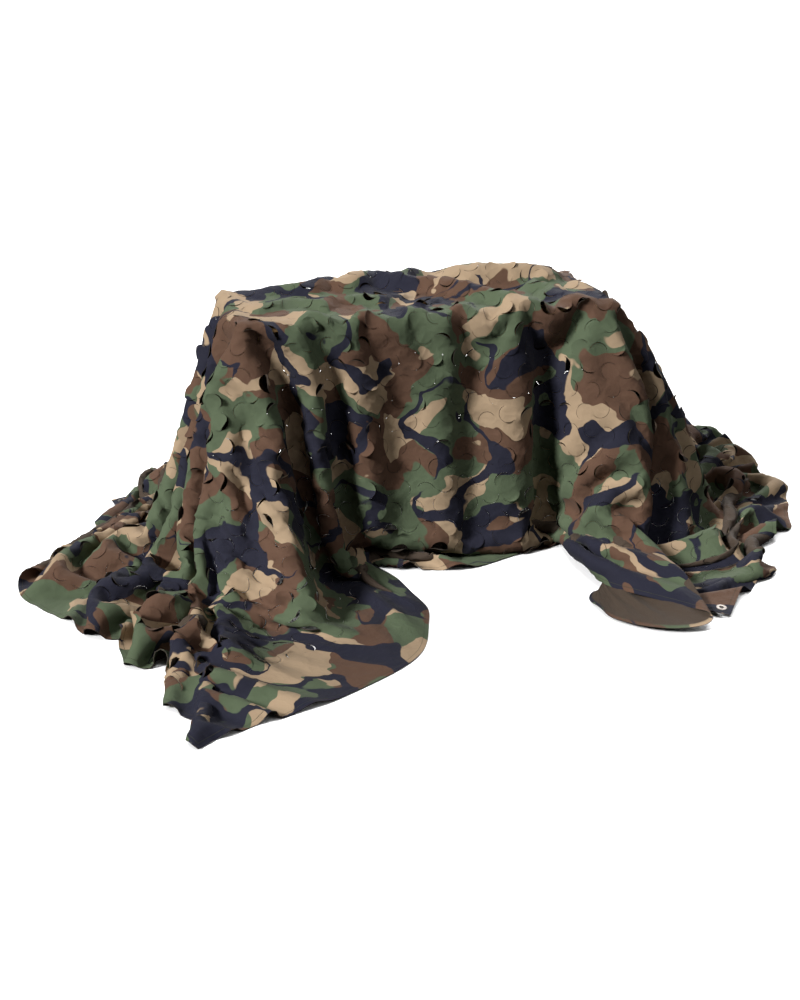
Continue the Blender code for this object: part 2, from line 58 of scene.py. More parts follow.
TABLE_ROUND = 2 * (TABLE_LENGTH + TABLE_DEPTH)

# ---- cloth, flat
CLOTH_LENGTH = 3.0
CLOTH_WIDTH = 2.0
CLOTH_ROUND = 2 * (CLOTH_LENGTH + CLOTH_WIDTH)
CLOTH_THICKNESS = 0.0008
HEM_DEPTH = 0.0007
FRONT_OVERHANG = 0.85
BACK_OVERHANG = 0.76
LEFT_OVERHANG = 1.00
RIGHT_OVERHANG = 1.03
PANELS = ("left", "middle", "right")
COARSE = 0.025
FINE = 0.0125

# ---- leaf cuts: their cells, in steps of the fine grid, and their arcs
BORDER_STEPS = 6
CELL_STEPS = 4
LEAF_PITCH = CELL_STEPS * FINE
# Leaves this near the front hem are left out, but for a stretch along its middle.
PLAIN_FRONT = 0.175
PLAIN_MIDDLE = (-0.35, 0.55)
LEAF_REACH = 0.0208
LEAF_SWEEPS = (62.0, 112.0)
LEAF_TURNS = tuple(math.radians(a) for a in (-150, -90, -40, 20, 80, 140))
LEAF_TURN_SPREAD = 0.3
LEAF_JITTER = 0.001
LEAF_SHIFT = 0.42
LEAF_STEPS = 14
LEAF_INNER_POINTS = ((0.25, 0.0), (0.65, 0.0), (0.45, 0.5), (0.45, -0.5), (0.0, 0.5), (0.0, -0.5))
LEAF_INNER_REACH = 0.85
LEAF_SEED = 5
CUT_GAP = 0.0010
INSIDE_SHARE = 0.985
SAME_POINT = 1e-5

# ---- leaf bends, in radians from root to tip
LEAF_REST_ANGLE = (0.03, 0.19)
LEAF_OPEN_SHARE = 0.2
LEAF_OPEN_RANGE = (0.2, 1.0)
LEAF_OPEN_ANGLE = 0.8
LEAF_FALL_ANGLE = 0.9
LEAF_INWARD_SHARE = 0.2
LEAF_INWARD_TURN = -0.6
LEAF_RIDGE_SHARE = (0.2, 1.0)
LEAF_STIFF_ANGLE = 0.5
LEAF_LEAST_ANGLE = 0.01
# Leaves lift less past a flat corner, in the fold that turns under, and past a flat line, on the back.
LEAF_FOLDED_AT = (0.42, -0.60)
LEAF_FOLDED_LIFT = 0.15
LEAF_BACK_AT = 0.15
LEAF_BACK_LIFT = 0.45
LIP_DIP = 0.0002

# ---- corner strips and their eyelets' holes
CORNER_STRIP = 0.080
CORNER_CUT_STEPS = 9
STRIP_GAP = 0.0003
STRIP_HOLD_REACH = (0.095, 0.170)
STRIP_FACE = 0.0009
EYELET_INSET = 0.024
EYELET_HOLE_RADIUS = 0.0072
EYELET_SEGMENTS = 20
CUT_MARGIN = 0.001
HOLE_SHARE = 0.97

# ---- the line of a rib
EDGE_LIFT = 0.0028
EDGE_INSET = 0.004
EDGE_CLEARANCE = 0.0075
EDGE_DROP = 0.003
EDGE_RISE_SHARE = 0.7
SHOULDER_OUT = 0.015
SHOULDER_DROP = 0.055
SHOULDER_TO_KNEE = 0.12
SHOULDER_RISE_SHARE = 0.3
KNEE_HEIGHT = 0.33
CURVE_STEPS = 12
HANG_SAMPLES = 33
POOL_SAMPLES = 25
HANG_SHARE_MOST = 0.9
SPOKES = 6
ROLL_SHARPNESS = 1.5

# ---- clearances of the draped cloth
TOP_LIFT = 0.003
CLEAR = 0.004
BOARD_REACH = 0.030
EDGE_ROUND = 0.008
CORNER_INSET = 0.010
CORNER_ROUND = 0.022
FLOOR_CLEARANCE = 0.0016
FLOOR_GAP = 0.0003

# ---- relaxing: how firmly the cloth is held to its ribs, on the table top and in boxes of flat cloth
HOLD_LOOSE = 0.008
HOLD_TOP = 0.03
HOLD_STRIP = 0.70
HOLDS = (
    # low_u, low_v, high_u, high_v, hold
    (-9.00, -9.00, -0.50, -0.20, 0.03),
    (-1.14, -0.90, -0.70, -0.35, 0.08),
    (0.42, -9.00, 9.00, -0.60, 0.05),
    (0.42, -9.00, 9.00, -0.75, 0.30),
)
DIAGONAL_PULL = 0.4
EVEN_HOLD = 0.04
FINE_HOLD = 0.01
# Each pass: grid spacing, steps, rounds a step, gravity, seconds a step, the speed kept, and the shares of a
# short link and of a bend that a round takes out.
EVEN_PASS = (COARSE, 50, 4, 0.0, 0.010, 0.5, 0.40, 0.4)
FALL_PASS = (COARSE, 90, 5, 6.0, 0.008, 0.9, 0.35, 0.4)
FINE_PASS = (FINE, 30, 4, 3.0, 0.006, 0.9, 0.50, 0.3)
CRUMPLE_SEED = 11
CRUMPLE_ROUNDS = 5
CRUMPLE_HEIGHT = 0.0036
# Boxes of flat cloth whose folds stay even: two wide folds at the ends of the front hem and the right pile.
EVEN_FOLDS = ((-1.28, -1.10, -0.36, -0.72), (0.55, -1.10, 1.42, -0.68), (0.98, -0.80, 1.40, -0.10))
EVEN_FADE = 0.06
EVEN_ROUNDS = 6
TINY = 1e-9
NUDGE = 1e-6

# ---- print, in metres of flat cloth
PRINT_GREEN = "4F5B45"
CLOTH_BACK = "43382F"
# The rims at every cut and edge get this dark colour as painted shade, standing in for the shadow inside the
# cuts.
CLOTH_EDGE_SHADE = "3F3A33"
CLOTH_FADE = "7A766C"
FADE_SHARE = 0.05
FADE_NOISE = (9.0, 4.0, 0.6)
PRINT_WARPS = ((6.0, 0.10), (19.0, 0.055), (44.0, 0.010))
PRINT_PATCHES = (((7.3, 2.9, 0.0), 6.2, 0.504, "5A4234"), ((1.2, 8.8, 0.0), 7.3, 0.566, "A08A70"))
PRINT_BRANCHES = (((4.1, 0.7, 0.0), 5.6, 0.27, 0.380, "1D1E2D"),)
PATCH_SOFT = 0.004
BRANCH_SOFT = 0.003
BRANCH_SPREAD = 0.8

# ---- relief and gloss: noises by scale, detail and roughness, bumps by depth and strength
RIPPLE_NOISE = (38.0, 3.0, 0.55)
RIPPLE_BUMP = (0.004, 0.35)
CREASES = ((14.0, 0.010), (31.0, 0.005))
CREASE_HALF_WIDTH = 0.2
CREASE_STRENGTH = 0.6
STITCH_BUMP = (0.0006, 0.8)
WEAVE_BUMP = (0.0002, 0.3)
CLOTH_ROUGH = (0.72, 0.90)
CLOTH_SPECULAR = 0.12
CLOTH_SHEEN = 0.04
SHEEN_ROUGH = 0.5
TARNISH_NOISE = (180.0, 4.0, 0.6)
TARNISH_BUMP = (0.0002, 0.4)
METAL_DARK = "5C554F"
METAL_PALE = "A8A098"
METAL_ROUGH = (0.35, 0.60)
METALLIC = 0.6
WOOD_STRETCH = (1.0, 9.0, 1.0)
GRAIN_NOISE = (14.0, 5.0, 0.6)
FINE_GRAIN_NOISE = (90.0, 3.0, 0.5)
FINE_GRAIN_SHARE = 0.35
GRAIN_BUMP = (0.0004, 0.5)
WOOD_DARK = "8A6A45"
WOOD_PALE = "C29E6C"
WOOD_LINES = "5E4529"
WOOD_ROUGH = 0.5
THREAD_TURNS = 2 * math.pi / 0.0009
STITCH_IN = 0.0105
STITCH_HALF_WIDTH = 0.0005
STITCH_PITCH = 0.0036
STITCH_SHARE = 0.78
STITCH_COLOUR = "3A3B2E"

# ---- camera and light, from the middle of the table
CAMERA_PLACE = (-0.843, -3.209, 1.381)
CAMERA_TURN = -14.121
CAMERA_TILT = 21.75
CAMERA_LENS = 50.4
SENSOR_WIDTH = 36.0
WORLD_STRENGTH = 0.015
BACKDROP_RADIUS = 60.0
BACKDROP_SEGMENTS = (48, 24)
FLOOR_SIDE = 80.0
STAGE_WHITE = (0.95, 0.95, 0.95, 1.0)
STAGE_ROUGH = 0.9
SUNS = (
    # name, degrees round from the front, elevation, strength, softness, whether the floor alone gets it
    ("left_softbox", -70.0, 35.0, 4.9, 12.0, False),
    ("top_softbox", 10.0, 70.0, 0.40, 40.0, False),
    ("right_softbox", 48.0, 28.0, 0.35, 24.0, False),
    ("back_softbox", 150.0, 32.0, 2.2, 30.0, False),
    ("floor_softbox", 0.0, 90.0, 3.2, 50.0, True),
)

# Each rib: where it meets the hem (metres round the cloth from its front-left corner, front hem first), where
# it leaves the table top (metres round it from its front-left corner), its plan position at knee height, its
# foot, how far it tucks back under there, the height of the fold halfway over the floor, and its hem end.
RIB_COLUMNS = ("hem_at", "edge_at", "knee_x", "knee_y", "foot_x", "foot_y", "foot_z",
               "tuck", "mid_z", "hem_x", "hem_y", "hem_z")
FRONT_RIBS = (
    # hem   edge    knee          foot                 tuck   mid    hem
    (0.00, 0.000, -0.493, -0.288, -0.550, -0.470, 0.085, 0.000, 0.060, -0.640, -0.930, 0.002),
    (0.20, 0.030, -0.462, -0.190, -0.470, -0.430, 0.014, 0.000, 0.008, -0.480, -0.910, 0.000),
    (0.38, 0.072, -0.418, -0.372, -0.366, -0.655, 0.085, 0.070, 0.012, -0.315, -0.872, 0.000),
    (0.58, 0.100, -0.352, -0.225, -0.320, -0.410, 0.018, 0.000, 0.006, -0.185, -0.745, 0.000),
    (0.80, 0.130, -0.315, -0.170, -0.290, -0.245, 0.006, 0.000, 0.004, -0.125, -0.535, 0.000),
    (0.97, 0.165, -0.304, -0.268, -0.238, -0.385, 0.040, 0.000, 0.016, -0.140, -0.370, 0.000),
    (1.10, 0.200, -0.250, -0.182, -0.225, -0.205, 0.010, 0.000, 0.006, -0.190, -0.235, 0.000),
    (1.22, 0.250, -0.200, -0.222, -0.185, -0.255, 0.070, 0.045, 0.010, -0.110, -0.260, 0.000),
    (1.33, 0.360, -0.085, -0.188, -0.085, -0.235, 0.060, 0.040, 0.010, -0.025, -0.300, 0.000),
    (1.44, 0.475, 0.020, -0.225, 0.015, -0.260, 0.065, 0.050, 0.010, 0.065, -0.285, 0.000),
    (1.53, 0.530, 0.080, -0.190, 0.085, -0.240, 0.060, 0.035, 0.010, 0.145, -0.245, 0.000),
    (1.62, 0.595, 0.145, -0.225, 0.160, -0.255, 0.055, 0.050, 0.008, 0.225, -0.222, 0.000),
    (1.71, 0.660, 0.220, -0.250, 0.250, -0.245, 0.035, 0.000, 0.012, 0.295, -0.250, 0.000),
    (1.79, 0.726, 0.271, -0.162, 0.295, -0.170, 0.012, 0.000, 0.006, 0.335, -0.205, 0.000),
    (1.92, 0.774, 0.316, -0.232, 0.320, -0.270, 0.075, 0.000, 0.060, 0.310, -0.370, 0.034),
    (2.04, 0.798, 0.366, -0.272, 0.340, -0.330, 0.100, 0.000, 0.072, 0.300, -0.530, 0.042),
    (2.15, 0.828, 0.425, -0.288, 0.385, -0.370, 0.110, 0.000, 0.075, 0.395, -0.625, 0.046),
    (2.28, 0.852, 0.465, -0.288, 0.445, -0.385, 0.100, 0.000, 0.066, 0.510, -0.745, 0.028),
    (2.40, 0.864, 0.490, -0.270, 0.430, -0.360, 0.060, 0.000, 0.042, 0.430, -0.830, 0.010),
    (2.56, 0.874, 0.505, -0.250, 0.390, -0.315, 0.050, 0.000, 0.034, 0.280, -0.750, 0.008),
    (2.77, 0.883, 0.510, -0.228, 0.365, -0.270, 0.034, 0.000, 0.024, 0.250, -0.490, 0.010),
    (2.88, 0.892, 0.518, -0.232, 0.435, -0.310, 0.020, 0.000, 0.010, 0.425, -0.570, 0.000),
    (3.00, 0.900, 0.528, -0.238, 0.515, -0.360, 0.024, 0.000, 0.010, 0.500, -0.660, 0.010),
)
RIGHT_RIBS = (
    (3.16, 0.913, 0.538, -0.210, 0.575, -0.350, 0.012, 0.000, 0.010, 0.615, -0.590, 0.002),
    (3.32, 0.930, 0.605, -0.225, 0.655, -0.360, 0.095, 0.000, 0.055, 0.720, -0.525, 0.012),
    (3.50, 0.955, 0.583, -0.149, 0.650, -0.252, 0.012, 0.000, 0.010, 0.740, -0.400, 0.000),
    (3.66, 0.981, 0.661, -0.132, 0.745, -0.194, 0.115, 0.000, 0.060, 0.840, -0.300, 0.010),
    (3.84, 1.006, 0.593, -0.081, 0.715, -0.114, 0.014, 0.000, 0.012, 0.900, -0.185, 0.000),
    (3.98, 1.032, 0.668, -0.043, 0.785, -0.049, 0.120, 0.000, 0.060, 0.985, -0.055, 0.008),
    (4.15, 1.066, 0.591, 0.000, 0.720, 0.022, 0.018, 0.000, 0.012, 0.960, 0.055, 0.000),
    (4.32, 1.100, 0.665, 0.047, 0.800, 0.092, 0.120, 0.000, 0.075, 1.015, 0.175, 0.008),
    (4.48, 1.130, 0.593, 0.081, 0.725, 0.153, 0.018, 0.000, 0.012, 0.985, 0.280, 0.000),
    (4.62, 1.159, 0.653, 0.128, 0.770, 0.224, 0.125, 0.000, 0.070, 1.020, 0.390, 0.008),
    (4.80, 1.202, 0.578, 0.157, 0.680, 0.270, 0.015, 0.000, 0.012, 1.005, 0.510, 0.000),
    (5.00, 1.240, 0.568, 0.245, 0.655, 0.389, 0.090, 0.000, 0.050, 0.875, 0.680, 0.012),
)
BACK_RIBS = (
    (5.20, 1.282, 0.510, 0.225, 0.545, 0.365, 0.014, 0.000, 0.010, 0.715, 0.620, 0.000),
    (5.40, 1.322, 0.485, 0.300, 0.485, 0.450, 0.090, 0.000, 0.045, 0.595, 0.635, 0.006),
    (5.60, 1.360, 0.415, 0.215, 0.400, 0.300, 0.012, 0.000, 0.010, 0.495, 0.485, 0.000),
    (5.78, 1.414, 0.365, 0.270, 0.345, 0.375, 0.060, 0.000, 0.030, 0.400, 0.480, 0.006),
    (5.98, 1.468, 0.260, 0.198, 0.265, 0.260, 0.010, 0.000, 0.010, 0.295, 0.375, 0.000),
    (6.22, 1.565, 0.175, 0.275, 0.190, 0.370, 0.085, 0.000, 0.040, 0.200, 0.470, 0.006),
    (6.40, 1.630, 0.090, 0.190, 0.085, 0.232, 0.010, 0.000, 0.010, 0.080, 0.345, 0.000),
    (6.54, 1.705, 0.005, 0.232, 0.010, 0.290, 0.050, 0.000, 0.020, -0.005, 0.370, 0.004),
    (6.70, 1.765, -0.070, 0.195, -0.080, 0.240, 0.010, 0.000, 0.010, -0.095, 0.320, 0.000),
    (6.92, 1.840, -0.155, 0.270, -0.175, 0.365, 0.080, 0.000, 0.040, -0.215, 0.460, 0.006),
    (7.14, 1.920, -0.250, 0.198, -0.275, 0.255, 0.010, 0.000, 0.010, -0.330, 0.375, 0.000),
    (7.32, 1.975, -0.320, 0.255, -0.365, 0.345, 0.055, 0.000, 0.030, -0.430, 0.460, 0.006),
    (7.50, 2.025, -0.380, 0.210, -0.435, 0.300, 0.012, 0.000, 0.010, -0.525, 0.425, 0.000),
    (7.74, 2.085, -0.460, 0.275, -0.555, 0.360, 0.090, 0.000, 0.050, -0.650, 0.400, 0.008),
    (8.00, 2.140, -0.505, 0.210, -0.610, 0.240, 0.060, 0.000, 0.035, -0.690, 0.245, 0.012),
)
LEFT_RIBS = (
    (8.20, 2.174, -0.499, 0.140, -0.600, 0.157, 0.010, 0.000, 0.010, -0.755, 0.160, 0.000),
    (8.38, 2.206, -0.553, 0.109, -0.665, 0.085, 0.080, 0.000, 0.055, -0.835, 0.030, 0.008),
    (8.53, 2.238, -0.505, 0.064, -0.620, 0.025, 0.012, 0.000, 0.012, -0.875, -0.030, 0.000),
    (8.70, 2.272, -0.570, 0.021, -0.695, -0.055, 0.130, 0.000, 0.085, -0.985, -0.175, 0.012),
    (8.88, 2.310, -0.503, -0.025, -0.615, -0.130, 0.012, 0.000, 0.012, -0.895, -0.305, 0.000),
    (9.05, 2.344, -0.570, -0.064, -0.665, -0.201, 0.125, 0.000, 0.085, -0.830, -0.420, 0.010),
    (9.22, 2.376, -0.505, -0.093, -0.580, -0.258, 0.010, 0.000, 0.010, -0.760, -0.495, 0.000),
    (9.38, 2.405, -0.575, -0.140, -0.640, -0.333, 0.110, 0.000, 0.075, -0.740, -0.600, 0.010),
    (9.56, 2.431, -0.507, -0.157, -0.560, -0.361, 0.012, 0.000, 0.010, -0.675, -0.665, 0.000),
    (9.72, 2.451, -0.555, -0.218, -0.610, -0.425, 0.080, 0.000, 0.055, -0.685, -0.780, 0.006),
    (9.86, 2.467, -0.501, -0.232, -0.555, -0.415, 0.025, 0.000, 0.025, -0.650, -0.860, 0.000),
)

# Loose rolls of cloth on the table top: their two ends, their height and their half width.
TOP_ROLLS = (
    # x0, y0, x1, y1, height, half width
    (-0.365, 0.111, 0.035, 0.127, 0.030, 0.045),
    (-0.185, 0.162, 0.238, 0.170, 0.026, 0.040),
    (-0.005, 0.102, 0.145, -0.034, 0.044, 0.050),
    (0.145, -0.034, 0.232, -0.178, 0.036, 0.045),
    (0.145, 0.111, 0.355, 0.085, 0.066, 0.060),
    (0.320, 0.017, 0.361, -0.178, 0.026, 0.045),
    (-0.385, -0.017, -0.075, -0.034, 0.010, 0.050),
)

# Corner strips that carry an empty eyelet: the cloth corner's place, the heading of its inward diagonal
# (degrees from +X) and its slope along that diagonal.
STRIP_COLUMNS = ("name", "hem_at", "x", "y", "z", "heading", "slope_deg")
CORNER_STRIPS = (
    ("front_right", 3.00, 0.530, -0.715, 0.010, 98.0, 6.0),
    ("back_right", 5.00, 0.920, 0.705, 0.010, 226.0, 6.0),
    ("back_left", 8.00, -0.745, 0.310, 0.010, 325.0, 6.0),
)




def named(columns, rows):
    """The rows of a table, each as a dictionary of its columns."""
    return [dict(zip(columns, row)) for row in rows]


STRIPS = named(STRIP_COLUMNS, CORNER_STRIPS)


# ---- the cloth on its ribs
def outline(at, length, width):
    """A rectangle's edge at metres round from its front-left corner, the front edge first."""
    corners = np.cumsum([0.0, length, width, length, width])
    x = np.interp(at, corners, np.array([-1, 1, 1, -1, -1]) * length / 2)
    y = np.interp(at, corners, np.array([-1, -1, 1, 1, -1]) * width / 2)
    return np.stack([x, y], axis=-1)


def table_edge(at):
    """Plan point on the edge of the table top, and the way out from it, at metres round from front left."""
    at = at % TABLE_ROUND
    side = np.searchsorted(np.cumsum([TABLE_LENGTH, TABLE_DEPTH, TABLE_LENGTH]), at)
    out = ((0.0, -1.0), (1.0, 0.0), (0.0, 1.0), (-1.0, 0.0))[side]
    return outline(at, TABLE_LENGTH, TABLE_DEPTH), np.array(out)


def roll_height(x, y):
    """Height of the loose rolls above the flat cloth at plan points of the table top."""
    rise = np.zeros(np.shape(x))
    for x0, y0, x1, y1, height, half_width in TOP_ROLLS:
        way = np.array([x1 - x0, y1 - y0])
        share = np.clip(((x - x0) * way[0] + (y - y0) * way[1]) / (way @ way), 0.0, 1.0)
        gap = np.hypot(x - x0 - share * way[0], y - y0 - share * way[1]) / half_width
        rise = np.maximum(rise, height * np.cos(np.minimum(gap, 1.0) * math.pi / 2) ** ROLL_SHARPNESS)
    return rise


def strip_axes(strip):
    """The corner point of a strip, its two hem directions and its turn."""
    turn = (Matrix.Rotation(math.radians(strip["heading"]), 3, "Z")
            @ Matrix.Rotation(math.radians(-strip["slope_deg"]), 3, "Y"))
    sides = [turn @ Vector((math.cos(math.radians(a)), math.sin(math.radians(a)), 0.0))
             for a in (45.0, -45.0)]
    return Vector((strip["x"], strip["y"], strip["z"])), sides, turn


def all_ribs():
    """Every rib in order round the cloth, with one at both ends and the middle of each corner strip's cut."""
    ribs = named(RIB_COLUMNS, FRONT_RIBS + RIGHT_RIBS + BACK_RIBS + LEFT_RIBS)
    for strip in STRIPS:
        corner, sides, _ = strip_axes(strip)
        ends = [corner + side * CORNER_STRIP for side in sides]
        for way, point in ((-1, ends[0]), (0, (ends[0] + ends[1]) / 2), (1, ends[1])):
            hem_at = strip["hem_at"] + way * CORNER_STRIP
            nearest = min(ribs, key=lambda rib: abs(rib["hem_at"] - hem_at))
            if abs(nearest["hem_at"] - hem_at) > NUDGE:
                after = next((rib for rib in ribs if rib["hem_at"] > hem_at), ribs[0])
                before = ribs[ribs.index(after) - 1]
                share = (hem_at - before["hem_at"]) / ((after["hem_at"] - before["hem_at"]) % CLOTH_ROUND)
                nearest = {key: before[key] * (1 - share) + after[key] * share for key in RIB_COLUMNS}
                ribs.insert(ribs.index(after), nearest)
            nearest["hem_at"] = hem_at
            nearest["hem_x"], nearest["hem_y"], nearest["hem_z"] = point
    return ribs


def smooth_curve(points, steps):
    """A centripetal Catmull-Rom curve through the points, with this many steps on each stretch."""
    points = np.asarray(points, float)
    padded = np.vstack([2 * points[0] - points[1], points, 2 * points[-1] - points[-2]])
    knots = np.concatenate([[0.0], np.cumsum(np.linalg.norm(np.diff(padded, axis=0), axis=1) ** 0.5)])
    out = []
    for i in range(1, len(padded) - 2):
        at = np.linspace(knots[i], knots[i + 1], steps, endpoint=False)[:, None]
        near, k = padded[i - 1:i + 3], knots[i - 1:i + 3]
        a = [((k[j + 1] - at) * near[j] + (at - k[j]) * near[j + 1]) / (k[j + 1] - k[j]) for j in range(3)]
        b = [((k[j + 2] - at) * a[j] + (at - k[j]) * a[j + 1]) / (k[j + 2] - k[j]) for j in range(2)]
        out.append(((k[2] - at) * b[0] + (at - k[1]) * b[1]) / (k[2] - k[1]))
    return np.vstack([*out, points[-1:]])


def along(curve, count):
    """Points evenly spread over a curve's own length."""
    run = np.concatenate([[0.0], np.cumsum(np.linalg.norm(np.diff(curve, axis=0), axis=1))])
    at = np.linspace(0.0, run[-1], count)
    return np.stack([np.interp(at, run, curve[:, i]) for i in range(3)], axis=1)


def rib_line(rib):
    """The line of one rib: evenly spaced points down to its foot, then over the floor to the hem."""
    edge, out = table_edge(rib["edge_at"])
    knee, foot, hem = (np.array([rib[name + "_x"], rib[name + "_y"]]) for name in ("knee", "foot", "hem"))
    rise = float(roll_height(*edge))
    shoulder = edge + out * SHOULDER_OUT + (knee - edge) * SHOULDER_TO_KNEE
    hang = [
        (*(edge - out * EDGE_INSET), TABLE_HEIGHT + EDGE_LIFT + rise),
        (*(edge + out * EDGE_CLEARANCE), TABLE_HEIGHT - EDGE_DROP + rise * EDGE_RISE_SHARE),
        (*shoulder, TABLE_HEIGHT - SHOULDER_DROP + rise * SHOULDER_RISE_SHARE),
        (*knee, KNEE_HEIGHT),
        (*foot, rib["foot_z"]),
    ]
    middle = foot - out * rib["tuck"] if rib["tuck"] else (foot + hem) / 2
    curve = smooth_curve(hang + [(*middle, rib["mid_z"]), (*hem, rib["hem_z"])], CURVE_STEPS)
    at_foot = CURVE_STEPS * (len(hang) - 1)
    return np.vstack([along(curve[:at_foot + 1], HANG_SAMPLES), along(curve[at_foot:], POOL_SAMPLES)[1:]])


def spline_terms(t):
    """Catmull-Rom weights of four neighbours, and of their slope, at a share t between the middle two."""
    value = np.stack([-t + 2 * t ** 2 - t ** 3, 2 - 5 * t ** 2 + 3 * t ** 3,
                      t + 4 * t ** 2 - 3 * t ** 3, -t ** 2 + t ** 3], axis=-1) / 2
    slope = np.stack([-1 + 4 * t - 3 * t ** 2, -10 * t + 9 * t ** 2,
                      1 + 8 * t - 9 * t ** 2, -2 * t + 3 * t ** 2], axis=-1) / 2
    return value, slope


def flat_outline(at):
    """The flat cloth's edge at metres round from its front-left corner."""
    return outline(at % CLOTH_ROUND, CLOTH_LENGTH, CLOTH_WIDTH)


def flat_hem(at):
    """The flat outline at metres round the cloth, with the strips' corners cut off."""
    at = at % CLOTH_ROUND
    share, start = np.zeros(at.shape), at
    for strip in STRIPS:
        first = strip["hem_at"] - CORNER_STRIP
        near = np.abs(at - strip["hem_at"]) < CORNER_STRIP
        share = np.where(near, (at - first) / (2 * CORNER_STRIP), share)
        start = np.where(near, first, start)
    first, last = flat_outline(start), flat_outline(start + 2 * CORNER_STRIP)
    return np.where((share > 0)[..., None], first + (last - first) * share[..., None], flat_outline(at))


def flat_table():
    """The lowest and highest flat corner of the cloth that lies on the table top."""
    low = np.array([LEFT_OVERHANG - CLOTH_LENGTH / 2, FRONT_OVERHANG - CLOTH_WIDTH / 2])
    high = np.array([CLOTH_LENGTH / 2 - RIGHT_OVERHANG, CLOTH_WIDTH / 2 - BACK_OVERHANG])
    return low, high


def place_on_ribs(flat):
    """Where each flat point lies in the drape that the ribs describe, and whether the ribs reach it."""
    ribs = all_ribs()
    count = len(ribs)
    lines = np.array([rib_line(rib) for rib in ribs])
    steps = np.linalg.norm(np.diff(lines, axis=1), axis=2)
    hang, pool = steps[:, :HANG_SAMPLES - 1].sum(axis=1), steps[:, HANG_SAMPLES - 1:].sum(axis=1)
    low, high = flat_table()
    to_flat = (high - low) / (TABLE_LENGTH, TABLE_DEPTH)

    def flat_edge(at):
        """Flat points over the edge of the table top, at metres round it."""
        return outline(at % TABLE_ROUND, TABLE_LENGTH, TABLE_DEPTH) * to_flat + (low + high) / 2

    hem_at, edge_at = (np.array([rib[key] for rib in ribs]) for key in ("hem_at", "edge_at"))
    reach = np.linalg.norm(flat_hem(hem_at) - flat_edge(edge_at), axis=1)
    foot_share = np.minimum(hang * np.minimum(reach / (hang + pool), 1.0), HANG_SHARE_MOST * reach) / reach

    # Straight lines over the flat cloth from the table's edge to the hem, a few between two ribs.
    fine = np.arange(count * SPOKES + 1) / SPOKES
    hems, edges = (np.interp(fine, np.arange(count + 1), np.append(values, values[0] + whole))
                   for values, whole in ((hem_at, CLOTH_ROUND), (edge_at, TABLE_ROUND)))
    from_edge = flat_edge(edges)
    spoke = flat_hem(hems - TINY) - from_edge

    placed = np.zeros((len(flat), 3))
    found = np.ones(len(flat), bool)
    on_top = ((flat > low) & (flat < high)).all(axis=1)
    plan = (flat[on_top] - (low + high) / 2) / to_flat
    placed[on_top] = np.column_stack([plan, TABLE_HEIGHT + TOP_LIFT + roll_height(*plan.T)])
    for index in np.flatnonzero(~on_top):
        gap = flat[index] - from_edge
        side = spoke[:, 0] * gap[:, 1] - spoke[:, 1] * gap[:, 0]
        ahead = (gap * spoke).sum(axis=1) > 0
        between = np.flatnonzero((side[:-1] >= 0) & (side[1:] <= 0) & ahead[:-1])
        if not len(between):
            found[index] = False
            continue
        first = between[0]
        part = side[first] / max(side[first] - side[first + 1], TINY)
        start, line = (ends[first] * (1 - part) + ends[first + 1] * part for ends in (from_edge, spoke))
        share = np.clip((flat[index] - start) @ line / (line @ line), 0.0, 1.0)
        rib, t = divmod((first + part) / SPOKES, 1.0)
        near = [(int(rib) + offset) % count for offset in (-1, 0, 1, 2)]
        weights, _ = spline_terms(t)
        foot = weights @ foot_share[near]
        if share < foot:
            sample = share / foot * (HANG_SAMPLES - 1)
        else:
            sample = HANG_SAMPLES - 1 + (share - foot) / (1 - foot) * (POOL_SAMPLES - 1)
        below = min(int(sample), lines.shape[1] - 2)
        points = lines[near, below] * (below + 1 - sample) + lines[near, below + 1] * (sample - below)
        placed[index] = weights @ points
    return placed, found


def flat_grid(spacing):
    """Evenly spaced points over the whole flat cloth."""
    u, v = (np.linspace(-side / 2, side / 2, round(side / spacing) + 1)
            for side in (CLOTH_LENGTH, CLOTH_WIDTH))
    return np.stack(np.meshgrid(u, v, indexing="ij"), axis=-1)


def placed_grid(spacing):
    """The cloth grid on the ribs, with the few points that no rib reaches taken from their neighbours."""
    flat = flat_grid(spacing)
    placed, found = place_on_ribs(flat.reshape(-1, 2))
    placed, found = placed.reshape(*flat.shape[:2], 3), found.reshape(flat.shape[:2])
    before, own, after = slice(0, -2), slice(1, -1), slice(2, None)
    around = ((before, own), (after, own), (own, before), (own, after))
    while not found.all():
        weight = np.pad(found.astype(float), 1)
        value = np.pad(placed * found[..., None], ((1, 1), (1, 1), (0, 0)))
        count = sum(weight[at] for at in around)
        mean = sum(value[at] for at in around) / np.maximum(count, 1)[..., None]
        fill = ~found & (count > 0)
        placed[fill] = mean[fill]
        found |= fill
    return placed


# ---- relaxing the cloth
def links(shape, step_u, step_v):
    """Index pairs of grid points one step apart, in two groups that share no point."""
    index = np.arange(shape[0] * shape[1]).reshape(shape)
    u0, u1 = max(0, -step_u), shape[0] - max(0, step_u)
    v0, v1 = max(0, -step_v), shape[1] - max(0, step_v)
    first = index[u0:u1, v0:v1]
    second = index[u0 + step_u:u1 + step_u, v0 + step_v:v1 + step_v]
    at_u, at_v = np.meshgrid(np.arange(u0, u1), np.arange(v0, v1), indexing="ij")
    group = (at_u // abs(step_u) if step_u else at_v // abs(step_v)) % 2
    return [(first[group == k], second[group == k]) for k in (0, 1)]


